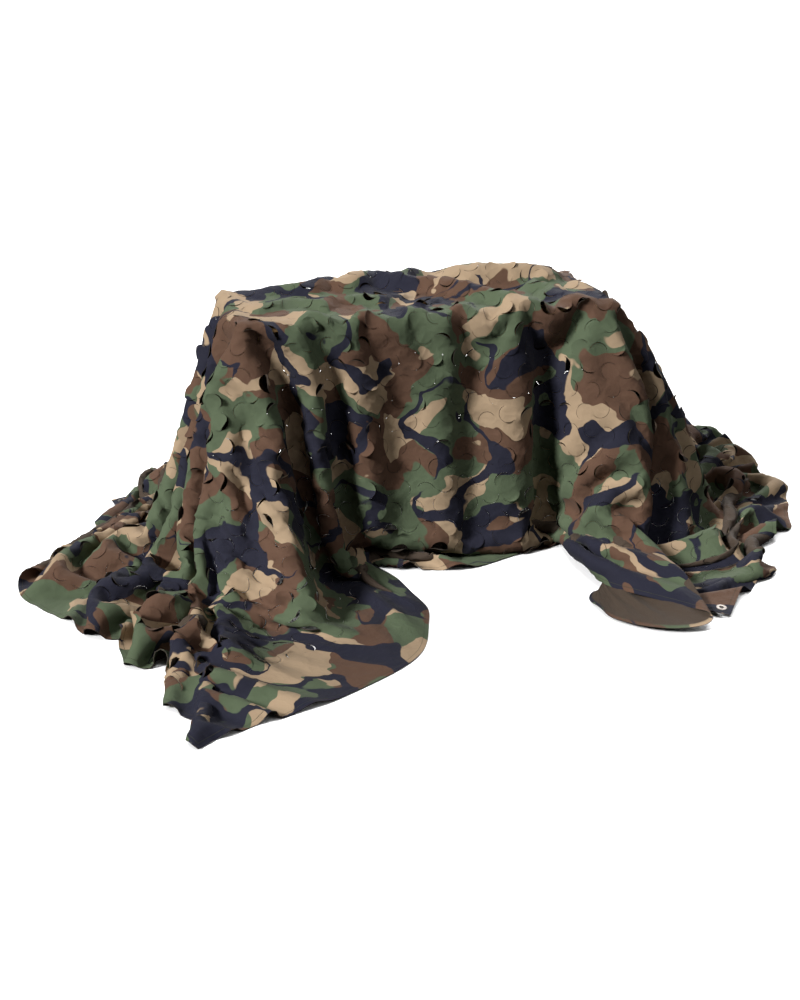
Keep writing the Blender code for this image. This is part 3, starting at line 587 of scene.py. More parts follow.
def push_out(points):
    """Keeps the cloth on the floor and out of the table board."""
    points[:, 2] = np.maximum(points[:, 2], FLOOR_CLEARANCE)
    half = np.array([TABLE_LENGTH, TABLE_DEPTH]) / 2
    depth = np.column_stack([TABLE_HEIGHT + TOP_LIFT - points[:, 2], half + CLEAR - np.abs(points[:, :2])])
    inside = np.flatnonzero((depth > 0).all(axis=1) & (depth[:, 0] < BOARD_REACH))
    least = depth[inside].argmin(axis=1)
    axis = least - 1
    points[inside, axis] += np.sign(points[inside, axis]) * depth[inside, least]

    # Round the board's edges, then its corners, so that the cloth between two grid points clears them.
    past = np.column_stack([np.abs(points[:, :2]) - half, points[:, 2] - TABLE_HEIGHT])
    near = np.flatnonzero((past > -BOARD_REACH).all(axis=1) & (past < EDGE_ROUND).all(axis=1)
                          & ((past > 0).sum(axis=1) > 1))
    past = np.maximum(past[near], 0.0)
    gap = np.linalg.norm(past, axis=1) + TINY
    points[near] += np.sign(points[near]) * past * (np.maximum(EDGE_ROUND - gap, 0.0) / gap)[:, None]
    within = np.sign(points) * (*(half - CORNER_INSET), TABLE_HEIGHT - CORNER_INSET)
    gap = np.linalg.norm(points - within, axis=1) + TINY
    near = np.flatnonzero(gap < CORNER_ROUND)
    points[near] += (points[near] - within[near]) * (CORNER_ROUND / gap[near] - 1)[:, None]


def relax(start, goal, hold, spacing, steps, rounds, gravity, seconds, kept, push, bend):
    """Moves a grid of cloth towards its flat lengths under its own weight, held loosely to a goal shape."""
    points, target = start.reshape(-1, 3).copy(), goal.reshape(-1, 3)
    hold = np.broadcast_to(np.reshape(hold, (-1, 1)), (len(points), 1))
    diagonal = spacing * math.sqrt(2)
    rows = [((1, 0), spacing, 1.0, push), ((0, 1), spacing, 1.0, push),
            ((1, 1), diagonal, DIAGONAL_PULL, DIAGONAL_PULL * push),
            ((1, -1), diagonal, DIAGONAL_PULL, DIAGONAL_PULL * push),
            ((2, 0), 2 * spacing, bend, bend), ((0, 2), 2 * spacing, bend, bend)]
    groups = [(first, second, length, long, short) for step, length, long, short in rows
              for first, second in links(start.shape[:2], *step)]
    speed = np.zeros_like(points)
    for _ in range(steps):
        before = points.copy()
        speed[:, 2] -= gravity * seconds
        points += speed * seconds
        for _ in range(rounds):
            for first, second, length, long, short in groups:
                apart = points[second] - points[first]
                now = np.sqrt((apart * apart).sum(axis=1)) + TINY
                excess = (now - length) / now
                move = apart * (excess * np.where(excess > 0, long, short) / 2)[:, None]
                points[first] += move
                points[second] -= move
            points += (target - points) * hold
            push_out(points)
        speed = (points - before) / seconds * kept
    return points.reshape(start.shape)


def doubled(grid):
    """A grid of half the spacing through the same points."""
    for axis in (0, 1):
        ends = np.moveaxis(grid, axis, 0)
        padded = np.concatenate([2 * ends[:1] - ends[1:2], ends, 2 * ends[-1:] - ends[-2:-1]])
        middle = (9 * (padded[1:-2] + padded[2:-1]) - padded[:-3] - padded[3:]) / 16
        finer = np.empty((2 * len(ends) - 1, *ends.shape[1:]))
        finer[::2] = ends
        finer[1::2] = middle
        grid = np.moveaxis(finer, 0, axis)
    return grid


# ---- the draped grid
def hold_weights(flat):
    """How firmly each grid point is held to its rib: more on the top and where a corner folds or piles."""
    low, high = flat_table()
    hold = np.full(flat.shape[:2], HOLD_LOOSE)
    table_top = (*(low - 2 * COARSE), *(high + 2 * COARSE), HOLD_TOP)
    for low_u, low_v, high_u, high_v, firmness in (table_top, *HOLDS):
        hold[((flat > (low_u, low_v)) & (flat < (high_u, high_v))).all(axis=-1)] = firmness
    return hold


def strip_places(flat):
    """Where the nearest corner strip's plane puts each flat point, and how far it binds it."""
    place, share = np.zeros((*flat.shape[:-1], 3)), np.zeros(flat.shape[:-1])
    near, far = STRIP_HOLD_REACH
    for strip in STRIPS:
        corner, sides, turn = strip_axes(strip)
        at_corner = flat_outline(strip["hem_at"])
        inwards = [(flat_outline(strip["hem_at"] + way * CORNER_STRIP) - at_corner) / CORNER_STRIP
                   for way in (-1, 1)]
        reach = [(flat - at_corner) @ way for way in inwards]
        fade = np.clip((far - reach[0] - reach[1]) / (far - near), 0.0, 1.0)
        fade = fade * fade * (3 - 2 * fade)
        own = np.array(corner + turn @ Vector((0.0, 0.0, STRIP_FACE)))
        for run, side in zip(reach, sides):
            own = own + run[..., None] * np.array(side)
        place = np.where((fade > share)[..., None], own, place)
        share = np.maximum(share, fade)
    return place, share[..., None]


def crumple(shape):
    """Random crests over a grid, from none to one, where low waves cross their own middle."""
    waves = np.random.default_rng(CRUMPLE_SEED).normal(size=shape)
    for _ in range(CRUMPLE_ROUNDS):
        for axis in (0, 1):
            waves = (np.roll(waves, 1, axis) + 2 * waves + np.roll(waves, -1, axis)) / 4
    return np.clip(1.0 - np.abs(waves) / waves.std(), 0.0, 1.0)


def even_folds(grid):
    """Takes the short waves out of the folds that stay even."""
    flat = flat_grid(FINE)
    inside = [np.minimum(flat - row[:2], row[2:] - flat).min(axis=-1) for row in EVEN_FOLDS]
    share = np.clip(np.max(inside, axis=0) / EVEN_FADE, 0.0, 1.0)[..., None]
    for _ in range(EVEN_ROUNDS):
        padded = np.pad(grid, ((1, 1), (1, 1), (0, 0)), mode="reflect", reflect_type="odd")
        mean = (padded[:-2, 1:-1] + padded[2:, 1:-1] + padded[1:-1, :-2] + padded[1:-1, 2:]) / 4
        grid = grid + (mean - grid) * share
    return grid


def drape():
    """The fine cloth grid, draped over the table and the floor."""
    corner, bound = strip_places(flat_grid(COARSE))
    goal = placed_grid(COARSE) * (1 - bound) + corner * bound
    hold = np.maximum(hold_weights(flat_grid(COARSE)), HOLD_STRIP * bound[..., 0])
    grid = relax(goal, goal, EVEN_HOLD, *EVEN_PASS)
    grid = doubled(relax(grid, goal, hold, *FALL_PASS))
    grid = relax(grid, grid, FINE_HOLD, *FINE_PASS)
    out = unit(np.cross(*np.gradient(grid, axis=(0, 1))))
    grid = even_folds(grid + out * (CRUMPLE_HEIGHT * crumple(grid.shape[:2]))[..., None])
    corner, bound = strip_places(flat_grid(FINE))
    return grid * (1 - bound) + corner * bound


def on_cloth(grid, flat):
    """Where flat points lie on the smooth surface through a grid, and its slopes along u and v there."""
    padded = np.pad(grid, ((1, 1), (1, 1), (0, 0)), mode="reflect", reflect_type="odd")
    place = (flat + (CLOTH_LENGTH / 2, CLOTH_WIDTH / 2)) / FINE
    cell = np.clip(np.floor(place + NUDGE).astype(int), 0, np.array(grid.shape[:2]) - 2)
    (value_u, rate_u), (value_v, rate_v) = (spline_terms(share) for share in (place - cell).T)
    near = padded[cell[:, 0, None, None] + np.arange(4)[:, None], cell[:, 1, None, None] + np.arange(4)]
    point = np.einsum("nijk,ni,nj->nk", near, value_u, value_v)
    slope_u = np.einsum("nijk,ni,nj->nk", near, rate_u, value_v) / FINE
    slope_v = np.einsum("nijk,ni,nj->nk", near, value_u, rate_v) / FINE
    return point, slope_u, slope_v


def unit(vectors):
    return vectors / np.maximum(np.linalg.norm(vectors, axis=-1, keepdims=True), TINY)


# ---- the cloth's flat mesh, cut into leaves
def triangulated(points, edges, origin=(0.0, 0.0)):
    """Triangles over flat points that keep to the given edges: the corners and the middle of each."""
    _, _, faces, sources, _, _ = geometry.delaunay_2d_cdt(
        [Vector((point - origin) / FINE) for point in points], edges, [], 0, SAME_POINT)
    for face in faces:
        corners = [sources[corner][0] for corner in face]
        yield corners, sum(points[corner] for corner in corners) / 3


class FlatMesh:
    """Flat points and triangles of the whole cloth, with what each point needs to be bent with its leaf."""

    def __init__(self, shape):
        self.shape = shape
        self.flat = list(flat_grid(FINE).reshape(-1, 2))
        self.leaf = [-1] * len(self.flat)
        self.lip = [0] * len(self.flat)
        self.triangles = []
        self.strips = []
        self.leaves = []

    def grid_point(self, i, j):
        return i * self.shape[1] + j

    def add_point(self, flat, leaf=-1, lip=0):
        self.flat.append(np.array(flat))
        self.leaf.append(leaf)
        self.lip.append(lip)
        return len(self.flat) - 1

    def add_quads(self, i0, i1, j0, j1):
        """Two triangles in each grid square, on diagonals that alternate."""
        for i in range(i0, i1):
            for j in range(j0, j1):
                a, b, c, d = (self.grid_point(*at) for at in ((i, j), (i + 1, j), (i + 1, j + 1), (i, j + 1)))
                self.triangles += [(a, b, c), (a, c, d)] if (i + j) % 2 else [(a, b, d), (b, c, d)]

    def add_leaf_cell(self, i0, j0, turn, half_sweep, middle):
        """A square of cloth with one leaf cut in it: an arc that leaves the leaf hanging by its chord."""
        steps = range(CELL_STEPS)
        ring = [*((k, 0) for k in steps), *((CELL_STEPS, k) for k in steps),
                *((CELL_STEPS - k, CELL_STEPS) for k in steps), *((0, CELL_STEPS - k) for k in steps)]
        border = [self.grid_point(i0 + i, j0 + j) for i, j in ring]
        tip = np.array([math.cos(turn), math.sin(turn)])
        side = np.array([-tip[1], tip[0]])
        radius = LEAF_REACH / math.sin(min(half_sweep, math.pi / 2))
        centre = middle - tip * radius * (1 + math.cos(half_sweep)) * LEAF_SHIFT
        angles = np.linspace(-half_sweep, half_sweep, LEAF_STEPS + 1)
        arc = [centre + radius * (tip * math.cos(a) + side * math.sin(a)) for a in angles]
        inner = [middle + radius * np.array(at) @ np.array([tip, side]) for at in LEAF_INNER_POINTS]
        inner = [point for point in inner if np.linalg.norm(point - centre) < LEAF_INNER_REACH * radius]
        leaf = len(self.leaves)
        self.leaves.append((*centre, *tip, radius, half_sweep))

        points = [self.flat[index] for index in border] + arc + inner
        first, last = len(border), len(border) + LEAF_STEPS
        edges = [(k, (k + 1) % first) for k in range(first)] + [(k, k + 1) for k in range(first, last)]
        kerf = CUT_GAP / 2 / radius
        outer = border + [self.add_point(point + (point - centre) * kerf, leaf, -1) for point in arc]
        own = {first + k: self.add_point(arc[k] - (arc[k] - centre) * kerf, leaf, 1)
               for k in range(1, LEAF_STEPS)}
        outer += [self.add_point(point, leaf, 1) for point in inner]
        for end in (first, last):
            self.lip[outer[end]] = 0
        for corners, at in triangulated(points, edges, centre):
            inside = np.linalg.norm(at - centre) < radius * INSIDE_SHARE
            self.triangles.append(tuple(own.get(corner, outer[corner]) if inside else outer[corner]
                                        for corner in corners))

    def add_corner(self, corner_u, corner_v):
        """The plain border near a corner, and the strip cut off it, with the hole for its eyelet."""
        reach = BORDER_STEPS + 1
        lines_u, lines_v = (range(reach + 1) if way < 0 else range(count - 1, count - reach - 2, -1)
                            for way, count in zip((corner_u, corner_v), self.shape))
        grid = [(np.array([i, j]) * FINE, self.grid_point(at_u, at_v))
                for i, at_u in enumerate(lines_u) for j, at_v in enumerate(lines_v)]
        outward = np.array([corner_u, corner_v])
        clockwise = corner_u * corner_v < 0

        def add_side(known, loops, kept):
            """Triangles on one side of the cut, from grid points and new ones along the cut and the hole."""
            points, names, edges = [point for point, _ in known], [index for _, index in known], []
            for loop, closed in loops:
                first = len(points)
                points += loop
                names += [self.add_point((point - (CLOTH_LENGTH / 2, CLOTH_WIDTH / 2)) * -outward)
                          for point in loop]
                edges += [(first + k, first + k + 1) for k in range(len(loop) - 1)]
                edges += [(first + len(loop) - 1, first)] if closed else []
            for corners, middle in triangulated(points, edges):
                if kept(middle):
                    yield tuple(names[corner] for corner in (corners[::-1] if clockwise else corners))

        shares = np.linspace(0.0, 1.0, CORNER_CUT_STEPS + 1)
        cut = [np.array([1 - share, share]) * CORNER_STRIP for share in shares]
        block = [(point, index) for point, index in grid
                 if point.sum() > CORNER_STRIP and point.min() < reach * FINE - NUDGE]
        self.triangles += add_side(block, [(cut, False)], lambda at: at.sum() > CORNER_STRIP
                                   and at.min() < BORDER_STEPS * FINE)
        eyelet = np.full(2, EYELET_INSET)
        hole = [eyelet + EYELET_HOLE_RADIUS * np.array([math.cos(a), math.sin(a)])
                for a in np.linspace(0.0, 2 * math.pi, EYELET_SEGMENTS, endpoint=False)]
        inner = [(point, index) for point, index in grid
                 if point.sum() < CORNER_STRIP - CUT_MARGIN
                 and np.linalg.norm(point - eyelet) > EYELET_HOLE_RADIUS + CUT_MARGIN]
        near_cut = [point * (1 - STRIP_GAP * math.sqrt(2) / CORNER_STRIP) for point in cut]
        self.strips.append(list(add_side(inner, [(near_cut, False), (hole, True)], lambda at:
                                         np.linalg.norm(at - eyelet) > EYELET_HOLE_RADIUS * HOLE_SHARE)))


def cut_cloth(shape):
    """The whole cloth's flat mesh: a plain border, leaf cells in staggered rows, and three cut corners."""
    mesh = FlatMesh(shape)
    rng = np.random.default_rng(LEAF_SEED)
    last_u, last_v = shape[0] - 1, shape[1] - 1
    low, high_u, high_v = BORDER_STEPS, last_u - BORDER_STEPS, last_v - BORDER_STEPS
    for row, j0 in enumerate(range(low, high_v, CELL_STEPS)):
        shift = CELL_STEPS // 2 * (row % 2)
        for i0 in range(low + shift, high_u - CELL_STEPS + 1, CELL_STEPS):
            corner = mesh.flat[mesh.grid_point(i0, j0)]
            middle = corner + LEAF_PITCH / 2 + rng.uniform(-LEAF_JITTER, LEAF_JITTER, 2)
            turn = rng.choice(LEAF_TURNS) + rng.normal(0.0, LEAF_TURN_SPREAD)
            half_sweep = math.radians(rng.uniform(*LEAF_SWEEPS))
            left, right = PLAIN_MIDDLE
            if middle[1] < PLAIN_FRONT - CLOTH_WIDTH / 2 and not left < middle[0] < right:
                mesh.add_quads(i0, i0 + CELL_STEPS, j0, j0 + CELL_STEPS)
            else:
                mesh.add_leaf_cell(i0, j0, turn, half_sweep, middle)
        if shift:
            mesh.add_quads(low, low + shift, j0, j0 + CELL_STEPS)
            mesh.add_quads(high_u - shift, high_u, j0, j0 + CELL_STEPS)
    block = BORDER_STEPS + 1
    mesh.add_quads(0, last_u - block, 0, low)
    mesh.add_quads(block, last_u - block, high_v, last_v)
    mesh.add_quads(0, low, low, last_v - block)
    mesh.add_quads(high_u, last_u, block, last_v - block)
    for corner in ((1, -1), (1, 1), (-1, 1)):
        mesh.add_corner(*corner)
    return mesh


# ---- bending the leaves
def leaf_columns(leaves):
    """Each leaf's centre, the way to its tip, its radius and how far behind the centre its chord lies."""
    return leaves[:, :2], leaves[:, 2:4], leaves[:, 4], -leaves[:, 4] * np.cos(leaves[:, 5])


def facing(grid, flat, tip):
    """Flat points' places in the drape, the way out of the cloth and the way a leaf's tip points there."""
    placed, slope_u, slope_v = on_cloth(grid, flat)
    return placed, unit(np.cross(slope_u, slope_v)), unit(slope_u * tip[:, :1] + slope_v * tip[:, 1:])


def leaf_angles(leaves, grid):
    """How far each leaf bends out of the cloth, and how far it keeps its own shape there.

    Every leaf lifts a little and some stand open. One whose tip points up a steep fold falls outwards. One
    that crosses a ridge stays straight while the cloth turns away under it.
    """
    centre, tip, radius, chord = leaf_columns(leaves)
    _, out, towards = facing(grid, centre - tip * chord[:, None], tip)
    _, _, beyond = facing(grid, centre + tip * radius[:, None], tip)
    ridge = np.clip(-(beyond * out).sum(axis=1), 0.0, 1.0)
    rng = np.random.default_rng(LEAF_SEED + 1)
    count = len(leaves)
    angle = rng.uniform(*LEAF_REST_ANGLE, count)
    open_now = rng.random(count) < LEAF_OPEN_SHARE
    angle += np.where(open_now, rng.uniform(*LEAF_OPEN_RANGE, count) * LEAF_OPEN_ANGLE, 0.0)
    angle += np.maximum(towards[:, 2], 0.0) * rng.random(count) ** 2 * LEAF_FALL_ANGLE
    angle *= np.where(rng.random(count) < LEAF_INWARD_SHARE, LEAF_INWARD_TURN, 1.0)
    stiff = (np.abs(angle) + ridge * rng.uniform(*LEAF_RIDGE_SHARE, count)) / LEAF_STIFF_ANGLE
    folded = (centre[:, 0] > LEAF_FOLDED_AT[0]) & (centre[:, 1] < LEAF_FOLDED_AT[1])
    lift = np.where(folded, LEAF_FOLDED_LIFT, np.where(centre[:, 1] > LEAF_BACK_AT, LEAF_BACK_LIFT, 1.0))
    return angle * lift, np.minimum(stiff, 1.0) * lift


def bend_leaves(mesh, grid):
    """Every flat point's place in the drape, with the leaves bent round their chords."""
    flat, leaf, lip, leaves = (np.array(values) for values in (mesh.flat, mesh.leaf, mesh.lip, mesh.leaves))
    placed, slope_u, slope_v = on_cloth(grid, flat)
    placed[lip < 0] -= unit(np.cross(slope_u, slope_v))[lip < 0] * LIP_DIP

    on_leaf = np.flatnonzero(lip > 0)
    centre, tip, radius, chord = leaf_columns(leaves[leaf[on_leaf]])
    length = radius + chord
    run = ((flat[on_leaf] - centre) * tip).sum(axis=1) + chord
    on_leaf, tip, length, run = (values[run > 0] for values in (on_leaf, tip, length, run))
    hinge, up, along_leaf = facing(grid, flat[on_leaf] - tip * run[:, None], tip)
    angle, stiff = (values[leaf[on_leaf]] for values in leaf_angles(leaves, grid))
    angle = np.where(np.abs(angle) < LEAF_LEAST_ANGLE, LEAF_LEAST_ANGLE, angle)
    turn = angle * run / length
    ahead, rise = length / angle * np.sin(turn), length / angle * (1 - np.cos(turn))
    bent = hinge + along_leaf * ahead[:, None] + up * rise[:, None]
    placed[on_leaf] += (bent - placed[on_leaf]) * stiff[:, None]
    push_out(placed)
    return flat, placed


# ---- the cloth's two faces and its edges
def vertex_normals(placed, triangles):
    a, b, c = (placed[triangles[:, k]] for k in range(3))
    area = np.cross(b - a, c - a)
    normals = np.zeros_like(placed)
    for k in range(3):
        np.add.at(normals, triangles[:, k], area)
    return unit(normals)


def open_edges(triangles):
    """Directed edges of the triangles that no other of them shares, and the triangle that each belongs to."""
    edges = np.concatenate([triangles[:, [0, 1]], triangles[:, [1, 2]], triangles[:, [2, 0]]])
    owner = np.tile(np.arange(len(triangles)), 3)
    size = triangles.max() + 1
    alone = ~np.isin(edges[:, 0] * size + edges[:, 1], edges[:, 1] * size + edges[:, 0])
    return edges[alone], owner[alone]


def wall(edges, upper, lower):
    """Quads that join the same edges of two layers of points."""
    ends, starts = edges[:, 1], edges[:, 0]
    return np.stack([ends + upper, starts + upper, starts + lower, ends + lower], axis=1)


def quad_normals(points, quads):
    across = np.cross(points[quads[:, 2]] - points[quads[:, 0]], points[quads[:, 3]] - points[quads[:, 1]])
    return np.repeat(unit(across)[:, None], 4, axis=1)


def add_cloth(name, flat, placed, normals, triangles, finishes):
    """A closed thin sheet: the printed face, the plain back, the hem folded under and a rim at every cut."""
    count = len(flat)
    points = np.concatenate([placed, placed - normals * CLOTH_THICKNESS,
                             placed - normals * (CLOTH_THICKNESS + HEM_DEPTH)])
    points[:, 2] = np.maximum(points[:, 2], FLOOR_GAP)
    half = np.array([CLOTH_LENGTH, CLOTH_WIDTH]) / 2
    hemmed = (half - np.abs(flat[triangles].mean(axis=1))).min(axis=1) < FINE
    layer_below = np.where(hemmed, 2, 1) * count
    back = triangles[:, ::-1] + layer_below[:, None]
    back_normals = -normals[triangles[:, ::-1]]
    edges, owner = open_edges(triangles)
    rims = wall(edges, 0, layer_below[owner])
    # The rims take the third finish, a dark colour that is painted shade for the shadow inside the cuts.
    parts = [(triangles, 0, normals[triangles]), (back[hemmed], 0, back_normals[hemmed]),
             (back[~hemmed], 1, back_normals[~hemmed]), (rims, 2, quad_normals(points, rims))]
    if hemmed.any():
        inner, _ = open_edges(triangles[hemmed])
        size = count + 1
        inner = inner[~np.isin(inner[:, 0] * size + inner[:, 1], edges[:, 0] * size + edges[:, 1])]
        ledges = wall(inner, count, 2 * count)
        parts.append((ledges, 0, quad_normals(points, ledges)))
    used, renamed = np.unique(np.concatenate([faces.ravel() for faces, _, _ in parts]), return_inverse=True)
    lists, start = [], 0
    for faces, _, _ in parts:
        lists += renamed[start:start + faces.size].reshape(faces.shape).tolist()
        start += faces.size
    mesh = bpy.data.meshes.new(name)
    mesh.from_pydata((points[used] + TABLE_MIDDLE).tolist(), [], lists)
    for finish in finishes:
        mesh.materials.append(finish)
    slots = np.concatenate([np.full(len(faces), slot) for faces, slot, _ in parts])
    mesh.polygons.foreach_set("material_index", slots)
    layer = mesh.uv_layers.new(name="cloth")
    layer.data.foreach_set("uv", (flat[used[renamed] % count] + half).ravel())
    mesh.shade_smooth()
    mesh.normals_split_custom_set(np.concatenate([corner.reshape(-1, 3) for _, _, corner in parts]).tolist())
    cloth = bpy.data.objects.new(name, mesh)
    bpy.context.scene.collection.objects.link(cloth)
    return cloth


def add_panels(mesh, grid, finishes):
    """The whole cloth as pieces along its length, and a strip at each corner that has an eyelet."""
    flat, placed = bend_leaves(mesh, grid)
    triangles = np.array(mesh.triangles)
    cut_off = [np.array(strip) for strip in mesh.strips]
    normals = vertex_normals(placed, np.concatenate([triangles, *cut_off]))
    leaf = np.array(mesh.leaf)[triangles].max(axis=1)
    middle = np.where(leaf >= 0, np.array(mesh.leaves)[leaf, 0], flat[triangles].mean(axis=1)[:, 0])
    place = np.clip(((middle / CLOTH_LENGTH + 0.5) * len(PANELS)).astype(int), 0, len(PANELS) - 1)
    pieces = [("net_" + side, triangles[place == index]) for index, side in enumerate(PANELS)]
    pieces += [("corner_" + strip["name"], own) for strip, own in zip(STRIPS, cut_off)]
    cloths = [add_cloth(name, flat, placed, normals, own, finishes) for name, own in pieces]
    return cloths[:len(PANELS)], cloths[len(PANELS):]


# ---- materials
class Nodes:
    """A material's node tree, with short calls that add a node and join it up."""

    def __init__(self, name):
        self.finish = bpy.data.materials.new(name)
        self.finish.use_nodes = True
        self.tree = self.finish.node_tree

    def join(self, value, socket):
        """Links a node's output to a socket, or sets the socket's own value."""
        if isinstance(value, bpy.types.NodeSocket):
            self.tree.links.new(value, socket)
        else:
            socket.default_value = value

    def add(self, kind, sockets=None, output=0, **names):
        """A new node's output. Sockets go by number or by capitalised name; small names are settings."""
        node = self.tree.nodes.new("ShaderNode" + kind)
        for key, value in names.items():
            if key[0].islower():
                setattr(node, key, value)
        for key, value in {**(sockets or {}), **names}.items():
            if isinstance(key, int) or key[0].isupper():
                self.join(value, node.inputs[key if isinstance(key, int) else key.replace("_", " ")])
        return node.outputs[output]

    def surface(self, **names):
        """Joins values to the shader's own sockets, and gives the finished material."""
        shader = self.tree.nodes["Principled BSDF"]
        for key, value in names.items():
            self.join(value, shader.inputs[key.replace("_", " ")])
        return self.finish

    def math(self, operation, *values):
        return self.add("Math", dict(enumerate(values)), operation=operation)

    def vector_math(self, operation, *values):
        return self.add("VectorMath", dict(enumerate(values)), operation=operation)

    def noise(self, at, scale, detail=1.0, roughness=0.4, output=0):
        return self.add("TexNoise", output=output, Vector=at, Scale=scale, Detail=detail, Roughness=roughness)

    def mix(self, share, first, second):
        return self.add("Mix", {0: share, 6: first, 7: second}, output=2, data_type="RGBA")

    def between(self, share, low, high):
        return self.add("MapRange", Value=share, To_Min=low, To_Max=high)

    def over(self, value, edge, soft):
        """One where a value passes an edge, with a narrow soft step."""
        return self.add("MapRange", interpolation_type="SMOOTHSTEP", Value=value,
                        From_Min=edge - soft, From_Max=edge + soft)

    def off_middle(self, value, middle=0.5):
        return self.math("ABSOLUTE", self.math("SUBTRACT", value, middle))

    def bump(self, height, distance, strength, **names):
        return self.add("Bump", Height=height, Distance=distance, Strength=strength, **names)


def linear(hex_colour):
    """A colour written as in a paint program, as the renderer counts it."""
    parts = [int(hex_colour[k:k + 2], 16) / 255 for k in (0, 2, 4)]
    return (*(part / 12.92 if part <= 0.04045 else ((part + 0.055) / 1.055) ** 2.4 for part in parts), 1.0)


def woodland_print(nodes, place):
    """Green ground with brown and tan patches and dark branches, as a colour over the flat cloth."""
    for scale, reach in PRINT_WARPS:
        moved = nodes.vector_math("SUBTRACT", nodes.noise(place, scale, output=1), (0.5, 0.5, 0.5))
        moved = nodes.add("VectorMath", {0: moved}, operation="SCALE", Scale=reach)
        place = nodes.vector_math("ADD", place, moved)
    colour = linear(PRINT_GREEN)
    for offset, scale, edge, paint in PRINT_PATCHES:
        patch = nodes.noise(nodes.vector_math("ADD", place, offset), scale)
        colour = nodes.mix(nodes.over(patch, edge, PATCH_SOFT), colour, linear(paint))
    for offset, scale, width, low, paint in PRINT_BRANCHES:
        moved = nodes.vector_math("ADD", place, offset)
        ridge = nodes.off_middle(nodes.noise(moved, scale))
        spread = nodes.math("SUBTRACT", nodes.noise(moved, scale * BRANCH_SPREAD, 0.0, 0.5), low)
        spread = nodes.math("MULTIPLY", spread, width)
        branch = nodes.over(nodes.math("SUBTRACT", spread, ridge), 0.0, BRANCH_SOFT)
        colour = nodes.mix(branch, colour, linear(paint))
    return colour


def stitch_line(nodes, along_u, along_v):
    """One on the hem's stitches: a dashed line a little way in from the cloth's edge."""
    to_u, to_v = (nodes.math("SUBTRACT", size / 2, nodes.off_middle(at, size / 2))
                  for at, size in ((along_u, CLOTH_LENGTH), (along_v, CLOTH_WIDTH)))
    off_line = nodes.off_middle(nodes.math("MINIMUM", to_u, to_v), STITCH_IN)
    on_line = nodes.math("LESS_THAN", off_line, STITCH_HALF_WIDTH)
    beside_v = nodes.math("LESS_THAN", to_u, to_v)
    run = nodes.add("Mix", {0: beside_v, 2: along_u, 3: along_v}, data_type="FLOAT")
    turn = nodes.math("FRACT", nodes.math("DIVIDE", run, STITCH_PITCH))
    return nodes.math("MULTIPLY", on_line, nodes.math("LESS_THAN", turn, STITCH_SHARE))


def cloth_relief(nodes, place, along_u, along_v, stitches):
    """Bump for soft waves, sharp creases, the hem's stitch line and a plain weave."""
    relief = nodes.bump(nodes.noise(place, *RIPPLE_NOISE), *RIPPLE_BUMP)
    for pitch, depth in CREASES:
        crest = nodes.math("MINIMUM", nodes.off_middle(nodes.noise(place, pitch)), CREASE_HALF_WIDTH)
        relief = nodes.bump(crest, depth, CREASE_STRENGTH, Normal=relief, invert=True)
    relief = nodes.bump(stitches, *STITCH_BUMP, Normal=relief)
    threads = [nodes.math("SINE", nodes.math("MULTIPLY", at, THREAD_TURNS)) for at in (along_u, along_v)]
    return nodes.bump(nodes.math("MULTIPLY", *threads), *WEAVE_BUMP, Normal=relief)


def cloth_finish(name, plain):
    """Cloth in a plain colour, or printed where none is given."""
    nodes = Nodes(name)
    place = nodes.add("UVMap", uv_map="cloth")
    along_u, along_v, _ = nodes.add("SeparateXYZ", Vector=place).node.outputs
    stitches = stitch_line(nodes, along_u, along_v)
    colour = linear(plain) if plain else woodland_print(nodes, place)
    fade = nodes.noise(place, *FADE_NOISE)
    worn = nodes.mix(nodes.math("MULTIPLY", fade, FADE_SHARE), colour, linear(CLOTH_FADE))
    return nodes.surface(
        Base_Color=nodes.mix(stitches, worn, linear(STITCH_COLOUR)),
        Normal=cloth_relief(nodes, place, along_u, along_v, stitches),
        Roughness=nodes.between(fade, *CLOTH_ROUGH),
        Specular_IOR_Level=CLOTH_SPECULAR,
        Sheen_Weight=CLOTH_SHEEN,
        Sheen_Roughness=SHEEN_ROUGH)


def metal_finish():
    """Dull, unevenly tarnished metal."""
    nodes = Nodes("eyelet_metal")
    tarnish = nodes.noise(nodes.add("TexCoord", output="Object"), *TARNISH_NOISE)
    return nodes.surface(
        Base_Color=nodes.mix(tarnish, linear(METAL_DARK), linear(METAL_PALE)),
        Roughness=nodes.between(tarnish, *METAL_ROUGH),
        Normal=nodes.bump(tarnish, *TARNISH_BUMP),
        Metallic=METALLIC)


def wood_finish():
    """Plain satin wood, with its grain drawn out along the boards."""
    nodes = Nodes("table_wood")
    stretched = nodes.vector_math("MULTIPLY", nodes.add("TexCoord", output="Object"), WOOD_STRETCH)
    grain = nodes.noise(stretched, *GRAIN_NOISE)
    fine = nodes.noise(stretched, *FINE_GRAIN_NOISE)
    colour = nodes.mix(grain, linear(WOOD_DARK), linear(WOOD_PALE))
    return nodes.surface(
        Base_Color=nodes.mix(nodes.math("MULTIPLY", fine, FINE_GRAIN_SHARE), colour, linear(WOOD_LINES)),
        Normal=nodes.bump(fine, *GRAIN_BUMP),
        Roughness=WOOD_ROUGH)


# ---- the object
for name in ("Cube", "Light", "Camera"):
    if name in bpy.data.objects:
        bpy.data.objects.remove(bpy.data.objects[name])

# The third finish paints the rims dark, as painted shade inside the cuts.
cloth_finishes = [cloth_finish("cloth_face", None), cloth_finish("cloth_back", CLOTH_BACK),
                  cloth_finish("cloth_edge_painted_shade", CLOTH_EDGE_SHADE)]
draped = drape()
panels, corners = add_panels(cut_cloth(draped.shape[:2]), draped, cloth_finishes)
for panel in panels:
    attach(panel, "root")
    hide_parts("net")
for strip, corner in zip(STRIPS, corners):
    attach(corner, "root")
    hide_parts("strip_" + strip["name"])

